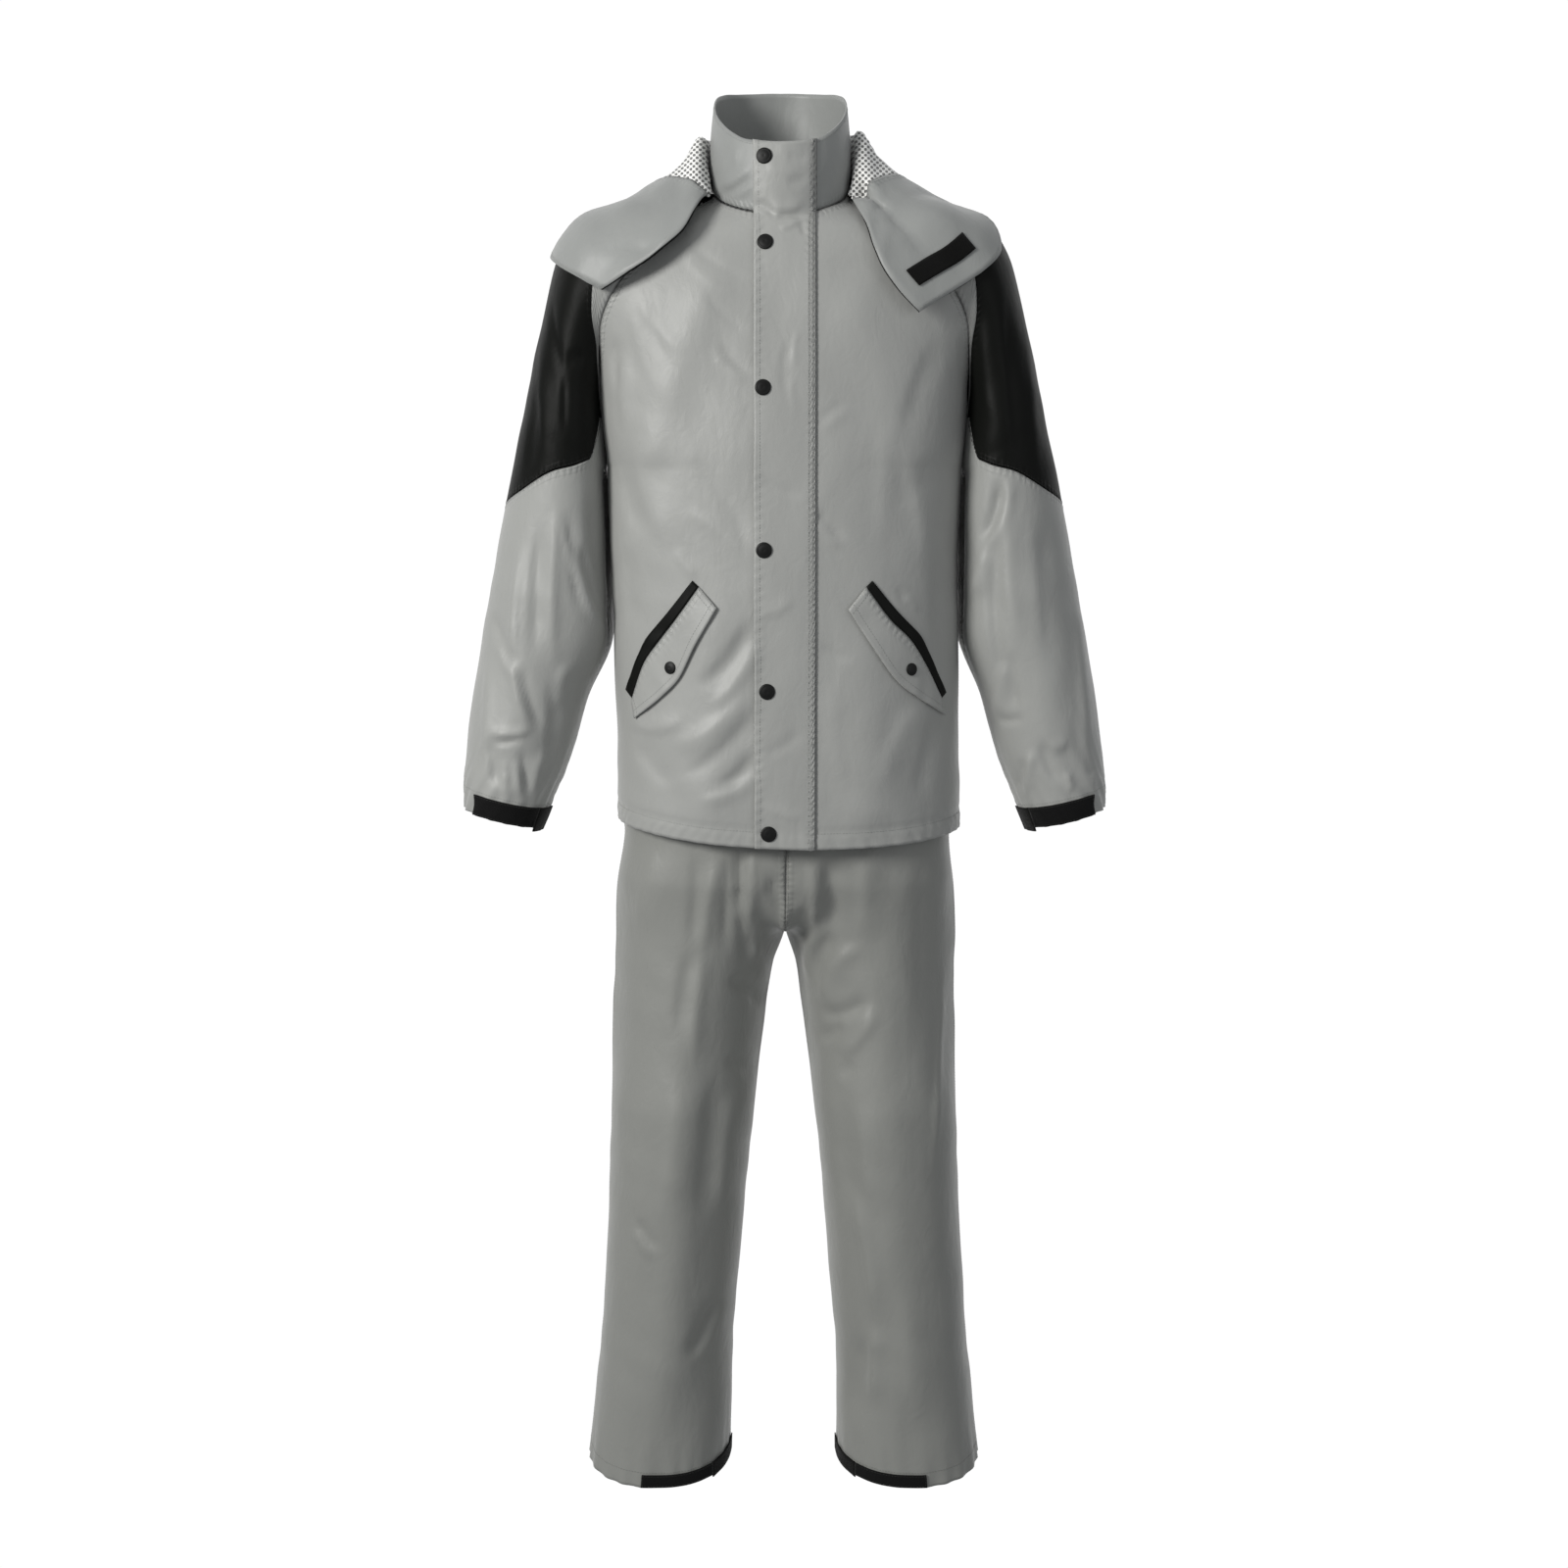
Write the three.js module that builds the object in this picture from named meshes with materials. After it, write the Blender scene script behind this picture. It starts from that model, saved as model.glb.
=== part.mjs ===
// Rain suit: a hooded jacket over trousers, in the shape it has on a wearer.
// Millimetres. +Z is up, +X is the wearer's left, -Y is the front.
// The origin is between the wearer's shoulders, where the neck begins.
import * as THREE from 'three';

// Cloth
const WALL = 2;
const SEAM = 0.3;
const LIFT = 0.8;
const HOOD_WALL = 1.5;
const NET_WALL = 1;

// Neck ring, which tilts down to the front
const NECK = { halfWidth: 72, halfDepth: 85, middleZ: 1, drop: 32 };
const FRONT_ARC = 75;
const BACK_ARC = 120;
const COLLAR = { height: 76, flare: -2, columns: 44, rows: 2, parting: 0.3 };

// Raglan seams, from the neck at s 0 to the underarm at s 1
const RAGLAN = [
  { s: 0.0, frontX: 69.55, frontY: -22, frontZ: -7.28, backX: 62.35, backY: 42.5, backZ: 17 },
  { s: 0.16, frontX: 106, frontY: -62, frontZ: -33, backX: 102, backY: 86, backZ: -24 },
  { s: 0.32, frontX: 142, frontY: -84, frontZ: -70, backX: 138, backY: 102, backZ: -66 },
  { s: 0.48, frontX: 174, frontY: -80, frontZ: -105, backX: 172, backY: 98, backZ: -114 },
  { s: 0.64, frontX: 192, frontY: -62, frontZ: -150, backX: 189, backY: 78, backZ: -160 },
  { s: 0.82, frontX: 194, frontY: -30, frontZ: -215, backX: 193, backY: 42, backZ: -222 },
  { s: 1.0, frontX: 190, frontY: 0, frontZ: -288, backX: 190, backY: 0, backZ: -288 },
];

// Side seam of the jacket, from the hem at v 0 to the underarm at v 1
const SIDE_SEAM = [
  { v: 0.0, x: 186.5, z: -671 },
  { v: 0.3, x: 185.5, z: -565 },
  { v: 0.6, x: 186, z: -448 },
  { v: 1.0, x: 190, z: -288 },
];

// Jacket front, half of each row from the middle to the seam; v 2 is the neck.
// reach: how far the row runs level from the middle. bend: how it comes to the seam.
const FRONT = [
  { v: 0.0, midY: -125, midZ: -685, reach: 122, bendX: 0, bendY: -86, bendZ: 0 },
  { v: 0.3, midY: -126, midZ: -570, reach: 120, bendX: 0, bendY: -85, bendZ: 0 },
  { v: 0.6, midY: -126, midZ: -450, reach: 117, bendX: 0, bendY: -82, bendZ: 0 },
  { v: 1.0, midY: -124, midZ: -290, reach: 116, bendX: 2, bendY: -78, bendZ: 0 },
  { v: 1.18, midY: -120, midZ: -220, reach: 112, bendX: -6, bendY: -52, bendZ: 0 },
  { v: 1.36, midY: -115, midZ: -160, reach: 100, bendX: -32, bendY: -30, bendZ: 0 },
  { v: 1.52, midY: -109, midZ: -118, reach: 84, bendX: -40, bendY: -16, bendZ: 0 },
  { v: 1.68, midY: -101, midZ: -80, reach: 64, bendX: -36, bendY: -8, bendZ: 0 },
  { v: 1.84, midY: -93, midZ: -54, reach: 50, bendX: -22, bendY: -22, bendZ: -14 },
  { v: 2.0, midY: -85, midZ: -31, reach: 32, bendX: -4, bendY: -26, bendZ: -9 },
];

// Jacket back, in the same way
const BACK = [
  { v: 0.0, midY: 122, midZ: -684, reach: 122, bendX: 0, bendY: 84, bendZ: 0 },
  { v: 0.3, midY: 122, midZ: -568, reach: 120, bendX: 0, bendY: 83, bendZ: 0 },
  { v: 0.6, midY: 124, midZ: -450, reach: 117, bendX: 0, bendY: 80, bendZ: 0 },
  { v: 1.0, midY: 127, midZ: -290, reach: 116, bendX: 2, bendY: 78, bendZ: 0 },
  { v: 1.18, midY: 129, midZ: -222, reach: 112, bendX: -6, bendY: 52, bendZ: 0 },
  { v: 1.36, midY: 129, midZ: -158, reach: 100, bendX: -32, bendY: 30, bendZ: 0 },
  { v: 1.52, midY: 126, midZ: -104, reach: 84, bendX: -40, bendY: 16, bendZ: 2 },
  { v: 1.68, midY: 117, midZ: -42, reach: 62, bendX: -36, bendY: 10, bendZ: 6 },
  { v: 1.84, midY: 104, midZ: -2, reach: 46, bendX: -26, bendY: 12, bendZ: 8 },
  { v: 2.0, midY: 85, midZ: 33, reach: 26, bendX: -12, bendY: 20, bendZ: 6 },
];

// Sleeve: each row runs from its top or outer point to the front and the back seam; v 1 is the
// underarm. reach: how far it runs level from the top. front and back: how it comes to the seams.
const SLEEVE = [
  { v: 0.0, topX: 72, topY: 0, topZ: 1, reach: 9, frontX: 2, frontY: 9, frontZ: 3, backX: 4, backY: -16, backZ: -6 },
  { v: 0.16, topX: 120, topY: 6, topZ: -7, reach: 34, frontX: 5, frontY: 14, frontZ: 20, backX: 6, backY: -16, backZ: 14 },
  { v: 0.32, topX: 170, topY: 10, topZ: -18, reach: 56, frontX: 14, frontY: -2, frontZ: 38, backX: 14, backY: 0, backZ: 34 },
  { v: 0.48, topX: 212, topY: 14, topZ: -31, reach: 58, frontX: 30, frontY: -12, frontZ: 36, backX: 30, backY: 12, backZ: 38 },
  { v: 0.64, topX: 240, topY: 16, topZ: -68, reach: 70, frontX: 26, frontY: -40, frontZ: 26, backX: 26, backY: 40, backZ: 28 },
  { v: 0.82, topX: 261, topY: 16, topZ: -150, reach: 92, frontX: 14, frontY: -76, frontZ: 12, backX: 14, backY: 70, backZ: 12 },
  { v: 1.0, topX: 281, topY: 14, topZ: -240, reach: 108, frontX: -1, frontY: -106, frontZ: 0, backX: -1, backY: 104, backZ: 0 },
  { v: 1.12, topX: 290, topY: 13, topZ: -284, reach: 108, frontX: -14, frontY: -107, frontZ: 0, backX: -34, backY: 105, backZ: 0 },
  { v: 1.3, topX: 302, topY: 12, topZ: -340, reach: 107, frontX: -20, frontY: -107, frontZ: 0, backX: -44, backY: 105, backZ: 0 },
  { v: 1.6, topX: 321, topY: 10, topZ: -440, reach: 104, frontX: -18, frontY: -104, frontZ: 0, backX: -42, backY: 104, backZ: 0 },
  { v: 1.9, topX: 336, topY: 4, topZ: -526, reach: 97, frontX: 0, frontY: -97, frontZ: 0, backX: 0, backY: 97, backZ: 0 },
  { v: 2.15, topX: 345, topY: -4, topZ: -600, reach: 87, frontX: 0, frontY: -87, frontZ: 0, backX: 0, backY: 87, backZ: 0 },
  { v: 2.3, topX: 348, topY: -9, topZ: -634, reach: 79, frontX: 0, frontY: -79, frontZ: 0, backX: 0, backY: 79, backZ: 0 },
  { v: 2.4, topX: 347, topY: -12, topZ: -655, reach: 72, frontX: 0, frontY: -72, frontZ: 0, backX: 0, backY: 72, backZ: 0 },
];
const CUFF_V = 2.4;

// Underarm seam of the sleeve, from the underarm to the cuff
const UNDER_ARM = [
  { v: 1.0, x: 190, y: 0, z: -288 },
  { v: 1.12, x: 194.5, y: 2, z: -304 },
  { v: 1.3, x: 194.5, y: 4, z: -360 },
  { v: 1.6, x: 193.5, y: 6, z: -462 },
  { v: 1.9, x: 216, y: 4, z: -545 },
  { v: 2.15, x: 239, y: -2, z: -618 },
  { v: 2.3, x: 253, y: -6, z: -652 },
  { v: 2.4, x: 263, y: -9, z: -676 },
];

// Black shoulder piece: how far round the sleeve it reaches by v, and where it ends by a
const SHOULDER_SIDE = [
  { v: 0.0, a: 1 },
  { v: 0.34, a: 1 },
  { v: 0.44, a: 0.82 },
  { v: 0.56, a: 0.89 },
  { v: 0.68, a: 0.94 },
  { v: 0.88, a: 0.94 },
  { v: 1.0, a: 0.94 },
];
const SHOULDER_END = [
  { c: 0.0, v: 1.28 },
  { c: 0.25, v: 1.21 },
  { c: 0.5, v: 1.13 },
  { c: 0.75, v: 1.04 },
  { c: 0.92, v: 0.96 },
  { c: 1.0, v: 0.88 },
];

// How far the jacket's centre line leans to the wearer's left, by height, and how its rows tilt
const JACKET_LEAN = [
  { z: -700, shift: 5, tilt: -0.027 },
  { z: -580, shift: 4, tilt: -0.018 },
  { z: -470, shift: 2, tilt: 0 },
  { z: -380, shift: 0.5, tilt: 0 },
  { z: -60, shift: 0, tilt: 0 },
  { z: 0, shift: -3.5, tilt: 0 },
  { z: 120, shift: -3.5, tilt: 0 },
];

// Trouser leg, front half: side seam to the centre seam, and to the inner leg seam below v 1
const TROUSER_FRONT = [
  { v: 0.0, sideX: 150, sideZ: -530, reach: 58, midX: 0, midY: -98, midZ: -532, bendX: 84, bendY: 0 },
  { v: 0.35, sideX: 168, sideZ: -612, reach: 66, midX: 0, midY: -103, midZ: -616, bendX: 104, bendY: 0 },
  { v: 0.55, sideX: 181.8, sideZ: -657, reach: 70, midX: 0, midY: -103, midZ: -661, bendX: 110, bendY: -2 },
  { v: 0.65, sideX: 177, sideZ: -682, reach: 72, midX: 0, midY: -103, midZ: -686, bendX: 112, bendY: -3 },
  { v: 0.85, sideX: 184.5, sideZ: -750, reach: 86, midX: 0, midY: -92, midZ: -752, bendX: 104, bendY: -20 },
  { v: 0.95, sideX: 185.7, sideZ: -780, reach: 106, midX: 0, midY: -64, midZ: -784, bendX: 72, bendY: -58 },
  { v: 1.0, sideX: 186, sideZ: -796, reach: 124, midX: 0, midY: 4, midZ: -793, bendX: 14, bendY: -132 },
  { v: 1.06, sideX: 186.5, sideZ: -831, reach: 126, midX: 12.5, midY: 6, midZ: -829, bendX: 4, bendY: -132 },
  { v: 1.2, sideX: 189, sideZ: -900, reach: 127, midX: 22.5, midY: 6, midZ: -900, bendX: 0, bendY: -129 },
  { v: 1.5, sideX: 192, sideZ: -1029, reach: 124, midX: 37, midY: 6, midZ: -1029, bendX: 0, bendY: -124 },
  { v: 1.8, sideX: 198.5, sideZ: -1165, reach: 116, midX: 50, midY: 6, midZ: -1165, bendX: 0, bendY: -116 },
  { v: 2.2, sideX: 209.5, sideZ: -1302, reach: 108, midX: 59.5, midY: 6, midZ: -1302, bendX: 0, bendY: -108 },
  { v: 2.5, sideX: 219.5, sideZ: -1391, reach: 106, midX: 60.5, midY: 6, midZ: -1391, bendX: 0, bendY: -106 },
];
const TROUSER_BACK = [
  { v: 0.0, sideX: 150, sideZ: -530, reach: 58, midX: 0, midY: 104, midZ: -526, bendX: 84, bendY: 0 },
  { v: 0.35, sideX: 168, sideZ: -612, reach: 68, midX: 0, midY: 106, midZ: -610, bendX: 104, bendY: 0 },
  { v: 0.55, sideX: 181.8, sideZ: -657, reach: 72, midX: 0, midY: 106, midZ: -657, bendX: 110, bendY: 2 },
  { v: 0.65, sideX: 177, sideZ: -682, reach: 74, midX: 0, midY: 106, midZ: -682, bendX: 112, bendY: 3 },
  { v: 0.85, sideX: 184.5, sideZ: -750, reach: 92, midX: 0, midY: 102, midZ: -750, bendX: 108, bendY: 18 },
  { v: 0.95, sideX: 185.7, sideZ: -780, reach: 108, midX: 0, midY: 70, midZ: -785, bendX: 74, bendY: 56 },
  { v: 1.0, sideX: 186, sideZ: -796, reach: 126, midX: 0, midY: 4, midZ: -793, bendX: 14, bendY: 128 },
  { v: 1.06, sideX: 186.5, sideZ: -831, reach: 128, midX: 12.5, midY: 6, midZ: -829, bendX: 4, bendY: 130 },
  { v: 1.2, sideX: 189, sideZ: -900, reach: 128, midX: 22.5, midY: 6, midZ: -900, bendX: 0, bendY: 128 },
  { v: 1.5, sideX: 192, sideZ: -1029, reach: 124, midX: 37, midY: 6, midZ: -1029, bendX: 0, bendY: 124 },
  { v: 1.8, sideX: 198.5, sideZ: -1165, reach: 116, midX: 50, midY: 6, midZ: -1165, bendX: 0, bendY: 116 },
  { v: 2.2, sideX: 209.5, sideZ: -1302, reach: 108, midX: 59.5, midY: 6, midZ: -1302, bendX: 0, bendY: 108 },
  { v: 2.5, sideX: 219.5, sideZ: -1391, reach: 106, midX: 60.5, midY: 6, midZ: -1391, bendX: 0, bendY: 106 },
];
const LEG_HEM_V = 2.5;
const LEG_HEM_DIP = 16;
const WAISTBAND = { height: 40, wall: 2.5 };
const TROUSER_LEAN = [
  { z: -700, shift: 2.5 },
  { z: -780, shift: 1.5 },
  { z: -850, shift: 0 },
];

// Hood, turned back. Sections fan out from the neck: angle 0 is the wearer's right, 90 the back.
// crest: fold beside the collar. fall, low, rise: down the outside. edge: face opening.
const HOOD = [
  { u: 0, neck: -27, rim: -26, bow: -20, crestR: 104, crestZ: -14, fallR: 132, fallZ: -34,
    lowR: 154, lowZ: -55, riseR: 178, riseZ: -80, rimR: 208, rimZ: -108 },
  { u: 1, neck: -16, rim: -5, bow: -4, crestR: 90, crestZ: 34, fallR: 108, fallZ: 12,
    lowR: 146, lowZ: -8, riseR: 194, riseZ: -38, rimR: 245, rimZ: -72 },
  { u: 2, neck: 4, rim: 18, bow: 0, crestR: 85, crestZ: 55, fallR: 104, fallZ: 27,
    lowR: 142, lowZ: 4, riseR: 196, riseZ: -24, rimR: 234, rimZ: -58 },
  { u: 3, neck: 34, rim: 43, bow: 0, crestR: 93, crestZ: 57, fallR: 134, fallZ: 14,
    lowR: 190, lowZ: -62, riseR: 222, riseZ: -50, rimR: 214, rimZ: -18 },
  { u: 4, neck: 64, rim: 68, bow: 0, crestR: 100, crestZ: 60, fallR: 146, fallZ: -26,
    lowR: 180, lowZ: -140, riseR: 214, riseZ: -86, rimR: 200, rimZ: 2 },
  { u: 5, neck: 90, rim: 90, bow: 0, crestR: 102, crestZ: 62, fallR: 146, fallZ: -36,
    lowR: 176, lowZ: -166, riseR: 212, riseZ: -96, rimR: 194, rimZ: 8 },
  { u: 6, neck: 116, rim: 112, bow: 0, crestR: 100, crestZ: 62, fallR: 146, fallZ: -26,
    lowR: 180, lowZ: -140, riseR: 214, riseZ: -86, rimR: 200, rimZ: 2 },
  { u: 7, neck: 146, rim: 138, bow: 0, crestR: 92, crestZ: 62, fallR: 132, fallZ: 18,
    lowR: 188, lowZ: -62, riseR: 218, riseZ: -50, rimR: 210, rimZ: -16 },
  { u: 8, neck: 172, rim: 170, bow: 0, crestR: 84, crestZ: 62, fallR: 101, fallZ: 36,
    lowR: 138, lowZ: 8, riseR: 168, riseZ: -8, rimR: 188, rimZ: -18 },
  { u: 9, neck: 194, rim: 195, bow: 3, crestR: 88, crestZ: 34, fallR: 106, fallZ: 12,
    lowR: 142, lowZ: -10, riseR: 184, riseZ: -42, rimR: 222, rimZ: -76 },
  { u: 10, neck: 207, rim: 219.5, bow: 15, crestR: 98, crestZ: -20, fallR: 124, fallZ: -46,
    lowR: 144, lowZ: -76, riseR: 160, riseZ: -104, rimR: 178, rimZ: -132 },
];
const HOOD_GRID = { columns: 30, netRows: 5, facingRows: 6, rest: 4.5, clear: 2.8 };
const FACING_SEAM = [
  { u: 0, w: 0.13 },
  { u: 1, w: 0.42 },
  { u: 2, w: 0.58 },
  { u: 3.5, w: 0.82 },
  { u: 5, w: 0.84 },
  { u: 6.5, w: 0.82 },
  { u: 8, w: 0.58 },
  { u: 9, w: 0.42 },
  { u: 10, w: 0.13 },
];

// Storm flap over the front opening, from hem to collar top
const FLAP = { freeX: -28, sewnX: 34, columns: 6, wall: 2, lift: 1.5 };
const SNAP = { radius: 8.3, height: 2.6, seat: 0.35, sides: 14 };
const POCKET_SNAP_RADIUS = 6.6;
const FRONT_SNAPS = [
  { name: 'snap_1', x: -17.7, z: 25.4 },
  { name: 'snap_2', x: -17, z: -62 },
  { name: 'snap_3', x: -19.5, z: -209 },
  { name: 'snap_4', x: -19, z: -374 },
  { name: 'snap_5', x: -16, z: -520 },
  { name: 'snap_6', x: -14, z: -669 },
];

// Slanting pockets: welt outer and inner line, then the flap's free line, from top to bottom
const POCKET_RIGHT = [
  { weltX: -94.5, weltZ: -405, lineX: -88, lineZ: -411, freeX: -69, freeZ: -433 },
  { weltX: -121, weltZ: -439, lineX: -113, lineZ: -446, freeX: -89, freeZ: -468 },
  { weltX: -143, weltZ: -469, lineX: -130, lineZ: -468, freeX: -109, freeZ: -508 },
  { weltX: -152, weltZ: -495, lineX: -143, lineZ: -491, freeX: -128, freeZ: -526 },
  { weltX: -160, weltZ: -521, lineX: -154, lineZ: -530, freeX: -150, freeZ: -553 },
];
const POCKET_LEFT = [
  { weltX: 91, weltZ: -405, lineX: 85, lineZ: -411, freeX: 66, freeZ: -434 },
  { weltX: 119, weltZ: -439, lineX: 111, lineZ: -446, freeX: 88, freeZ: -469 },
  { weltX: 143, weltZ: -469, lineX: 131, lineZ: -469, freeX: 111, freeZ: -509 },
  { weltX: 158, weltZ: -496, lineX: 149, lineZ: -493, freeX: 135, freeZ: -527 },
  { weltX: 170, weltZ: -522, lineX: 164, lineZ: -530, freeX: 163, freeZ: -553 },
];
const POCKET_SNAPS = [
  { name: 'pocket_snap_right', x: -118.5, z: -496 },
  { name: 'pocket_snap_left', x: 133, z: -498 },
];

// Closing tapes at cuffs and trouser hems, in columns of the cloth they are sewn to
const CUFF_TAPE = { from: 6, to: 2, tabTo: 0, height: 23, tabDrop: 4, wall: 1.6 };
const HEM_TAPE = { from: 3.4, to: 6.2, tabTo: 8, height: 15, tabDrop: 2, wall: 1.6 };

// Hook tape on the hood's left tab, corners in columns and rows of the hood
const HOOK_TAPE = { fromI: 29.6, fromJ: 9.3, toI: 27.9, toJ: 9.3, width: 0.75, wall: 1.2, lift: 1.6 };

// Largest folds: from one point to another in front view, half width, height, and the side it is on
const FOLDS = [
  { x0: -70, z0: -70, x1: -150, z1: -300, half: 36, rise: 4, face: -1 },
  { x0: 60, z0: -80, x1: 150, z1: -310, half: 36, rise: 4, face: -1 },
  { x0: -70, z0: -400, x1: -85, z1: -680, half: 40, rise: 4, face: -1 },
  { x0: 80, z0: -440, x1: 90, z1: -680, half: 38, rise: 4, face: -1 },
  { x0: -70, z0: -290, x1: -90, z1: -680, half: 42, rise: 5, face: 1 },
  { x0: 65, z0: -290, x1: 90, z1: -680, half: 42, rise: 5, face: 1 },
  { x0: -262, z0: -370, x1: -290, z1: -600, half: 30, rise: 4, face: -1 },
  { x0: 262, z0: -370, x1: 290, z1: -600, half: 30, rise: 4, face: -1 },
  { x0: -95, z0: -780, x1: -132, z1: -1350, half: 34, rise: 5, face: -1 },
  { x0: 95, z0: -780, x1: 132, z1: -1350, half: 34, rise: 5, face: -1 },
  { x0: -100, z0: -780, x1: -132, z1: -1350, half: 36, rise: 5, face: 1 },
  { x0: 100, z0: -780, x1: 132, z1: -1350, half: 36, rise: 5, face: 1 },
];

const vec = (x, y, z) => new THREE.Vector3(x, y, z);
const smooth = (x) => {
  const t = Math.min(1, Math.max(0, x));
  return t * t * (3 - 2 * t);
};
const radians = (degrees) => (degrees * Math.PI) / 180;
const range = (count) => [...Array(count).keys()];

// Curve through a column of a table that never overshoots its rows
function through(xs, ys) {
  const last = xs.length - 1;
  const gaps = range(last).map((i) => xs[i + 1] - xs[i]);
  const slopes = range(last).map((i) => (ys[i + 1] - ys[i]) / gaps[i]);
  const tangents = range(xs.length).map((i) => {
    if (i === 0) return slopes[0];
    if (i === last) return slopes[last - 1];
    if (slopes[i - 1] * slopes[i] <= 0) return 0;
    const w1 = 2 * gaps[i] + gaps[i - 1];
    const w2 = gaps[i] + 2 * gaps[i - 1];
    return (w1 + w2) / (w1 / slopes[i - 1] + w2 / slopes[i]);
  });
  return (x) => {
    const at = Math.min(xs[last], Math.max(xs[0], x));
    let i = 0;
    while (i < last - 1 && at > xs[i + 1]) i += 1;
    const t = (at - xs[i]) / gaps[i];
    const fromStart = (1 + 2 * t) * (1 - t) * (1 - t) * ys[i] + t * t * (3 - 2 * t) * ys[i + 1];
    const fromSlope = t * (1 - t) * (1 - t) * tangents[i] - t * t * (1 - t) * tangents[i + 1];
    return fromStart + fromSlope * gaps[i];
  };
}

// All the columns of a table at once, by its first column
function table(rows, key) {
  const forward = rows[0][key] <= rows[rows.length - 1][key] ? rows : [...rows].reverse();
  const keys = forward.map((row) => row[key]);
  const names = Object.keys(forward[0]).filter((name) => name !== key);
  const curves = names.map((name) => through(keys, forward.map((row) => row[name])));
  return (x) => Object.fromEntries(names.map((name, i) => [name, curves[i](x)]));
}

// Point on a cubic curve between two ends with a handle at each
function cubic(start, startHandle, endHandle, end, t) {
  const s = 1 - t;
  return vec(0, 0, 0)
    .addScaledVector(start, s * s * s)
    .addScaledVector(startHandle, 3 * s * s * t)
    .addScaledVector(endHandle, 3 * s * t * t)
    .addScaledVector(end, t * t * t);
}

// Point on the neck ring; 0 is the front, 90 the side, 180 the back
function neckPoint(degrees) {
  const angle = radians(degrees);
  const z = NECK.middleZ - NECK.drop * Math.cos(angle);
  return vec(NECK.halfWidth * Math.sin(angle), -NECK.halfDepth * Math.cos(angle), z);
}

const jacketLean = table(JACKET_LEAN, 'z');
const trouserLean = table(TROUSER_LEAN, 'z');

// Jacket point on its own side, with the lean that fades out on the sleeves
function onJacket(point, side) {
  const fade = 1 - smooth((Math.abs(point.x) - 188) / 50);
  const { shift, tilt } = jacketLean(point.z);
  return vec(side * point.x + fade * shift, point.y, point.z + fade * tilt * side * point.x);
}

function onTrousers(point, side) {
  return vec(side * point.x + trouserLean(point.z).shift, point.y, point.z);
}

const raglan = table(RAGLAN, 's');
const sideSeam = table(SIDE_SEAM, 'v');
const underArm = table(UNDER_ARM, 'v');
const raglanFront = (s) => vec(raglan(s).frontX, raglan(s).frontY, raglan(s).frontZ);
const raglanBack = (s) => vec(raglan(s).backX, raglan(s).backY, raglan(s).backZ);

// Body rows of the jacket, from the centre line to the side or raglan seam, matched to the neck
function bodyPoint(rowAt, raglanAt, neckFrom, neckTo) {
  const raw = (t, v) => {
    const row = rowAt(v);
    const mid = vec(0, row.midY, row.midZ);
    const edge = v > 1 ? raglanAt(2 - v) : vec(sideSeam(v).x, 0, sideSeam(v).z);
    const midHandle = vec(row.reach, row.midY, row.midZ);
    const edgeHandle = edge.clone().add(vec(row.bendX, row.bendY, row.bendZ));
    return cubic(mid, midHandle, edgeHandle, edge, t);
  };
  return (t, v) => {
    const point = raw(t, v);
    if (t === 1) return point;
    const miss = neckPoint(neckFrom + (neckTo - neckFrom) * t).sub(raw(t, 2));
    return point.addScaledVector(miss, smooth((v - 1.7) / 0.3));
  };
}
const frontPoint = bodyPoint(table(FRONT, 'v'), raglanFront, 0, FRONT_ARC);
const backPoint = bodyPoint(table(BACK, 'v'), raglanBack, 180, BACK_ARC);

// Sleeve point: a runs from -1 at the front seam over 0 on top to 1 at the back seam
const sleeveRow = table(SLEEVE, 'v');
function rawSleevePoint(a, v) {
  const row = sleeveRow(v);
  const top = vec(row.topX, row.topY, row.topZ);
  const topHandle = vec(row.topX, row.topY + (a < 0 ? -1 : 1) * row.reach, row.topZ);
  const under = vec(underArm(v).x, underArm(v).y, underArm(v).z);
  const seam = a < 0 ? raglanFront(v) : raglanBack(v);
  const end = v < 1 ? seam : under;
  const bend = a < 0 ? vec(row.frontX, row.frontY, row.frontZ) : vec(row.backX, row.backY, row.backZ);
  return cubic(top, topHandle, end.clone().add(bend), end, Math.abs(a));
}
function sleevePoint(a, v) {
  const degrees = 90 + (a < 0 ? 90 - FRONT_ARC : BACK_ARC - 90) * a;
  const miss = neckPoint(degrees).sub(rawSleevePoint(a, 0));
  const apart = 1 - smooth(v / 0.16);
  const point = rawSleevePoint(a, v);
  return Math.abs(a) === 1 ? point : point.addScaledVector(miss, apart);
}

// Trouser row from the side seam to the centre seam or the inner leg
function legPoint(rowAt, dip) {
  return (t, v) => {
    const row = rowAt(v);
    const facing = Math.sign(row.bendY || row.midY);
    const side = vec(row.sideX, 0, row.sideZ);
    const mid = vec(row.midX, row.midY, row.midZ);
    const sideHandle = vec(row.sideX, facing * row.reach, row.sideZ);
    const midHandle = vec(row.midX + row.bendX, row.midY + row.bendY, row.midZ);
    const point = cubic(side, sideHandle, midHandle, mid, t);
    point.z -= dip * smooth((v - 2.1) / 0.4) * 4 * t * (1 - t);
    return point;
  };
}
const legFront = legPoint(table(TROUSER_FRONT, 'v'), LEG_HEM_DIP);
const legBack = legPoint(table(TROUSER_BACK, 'v'), 0);

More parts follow.
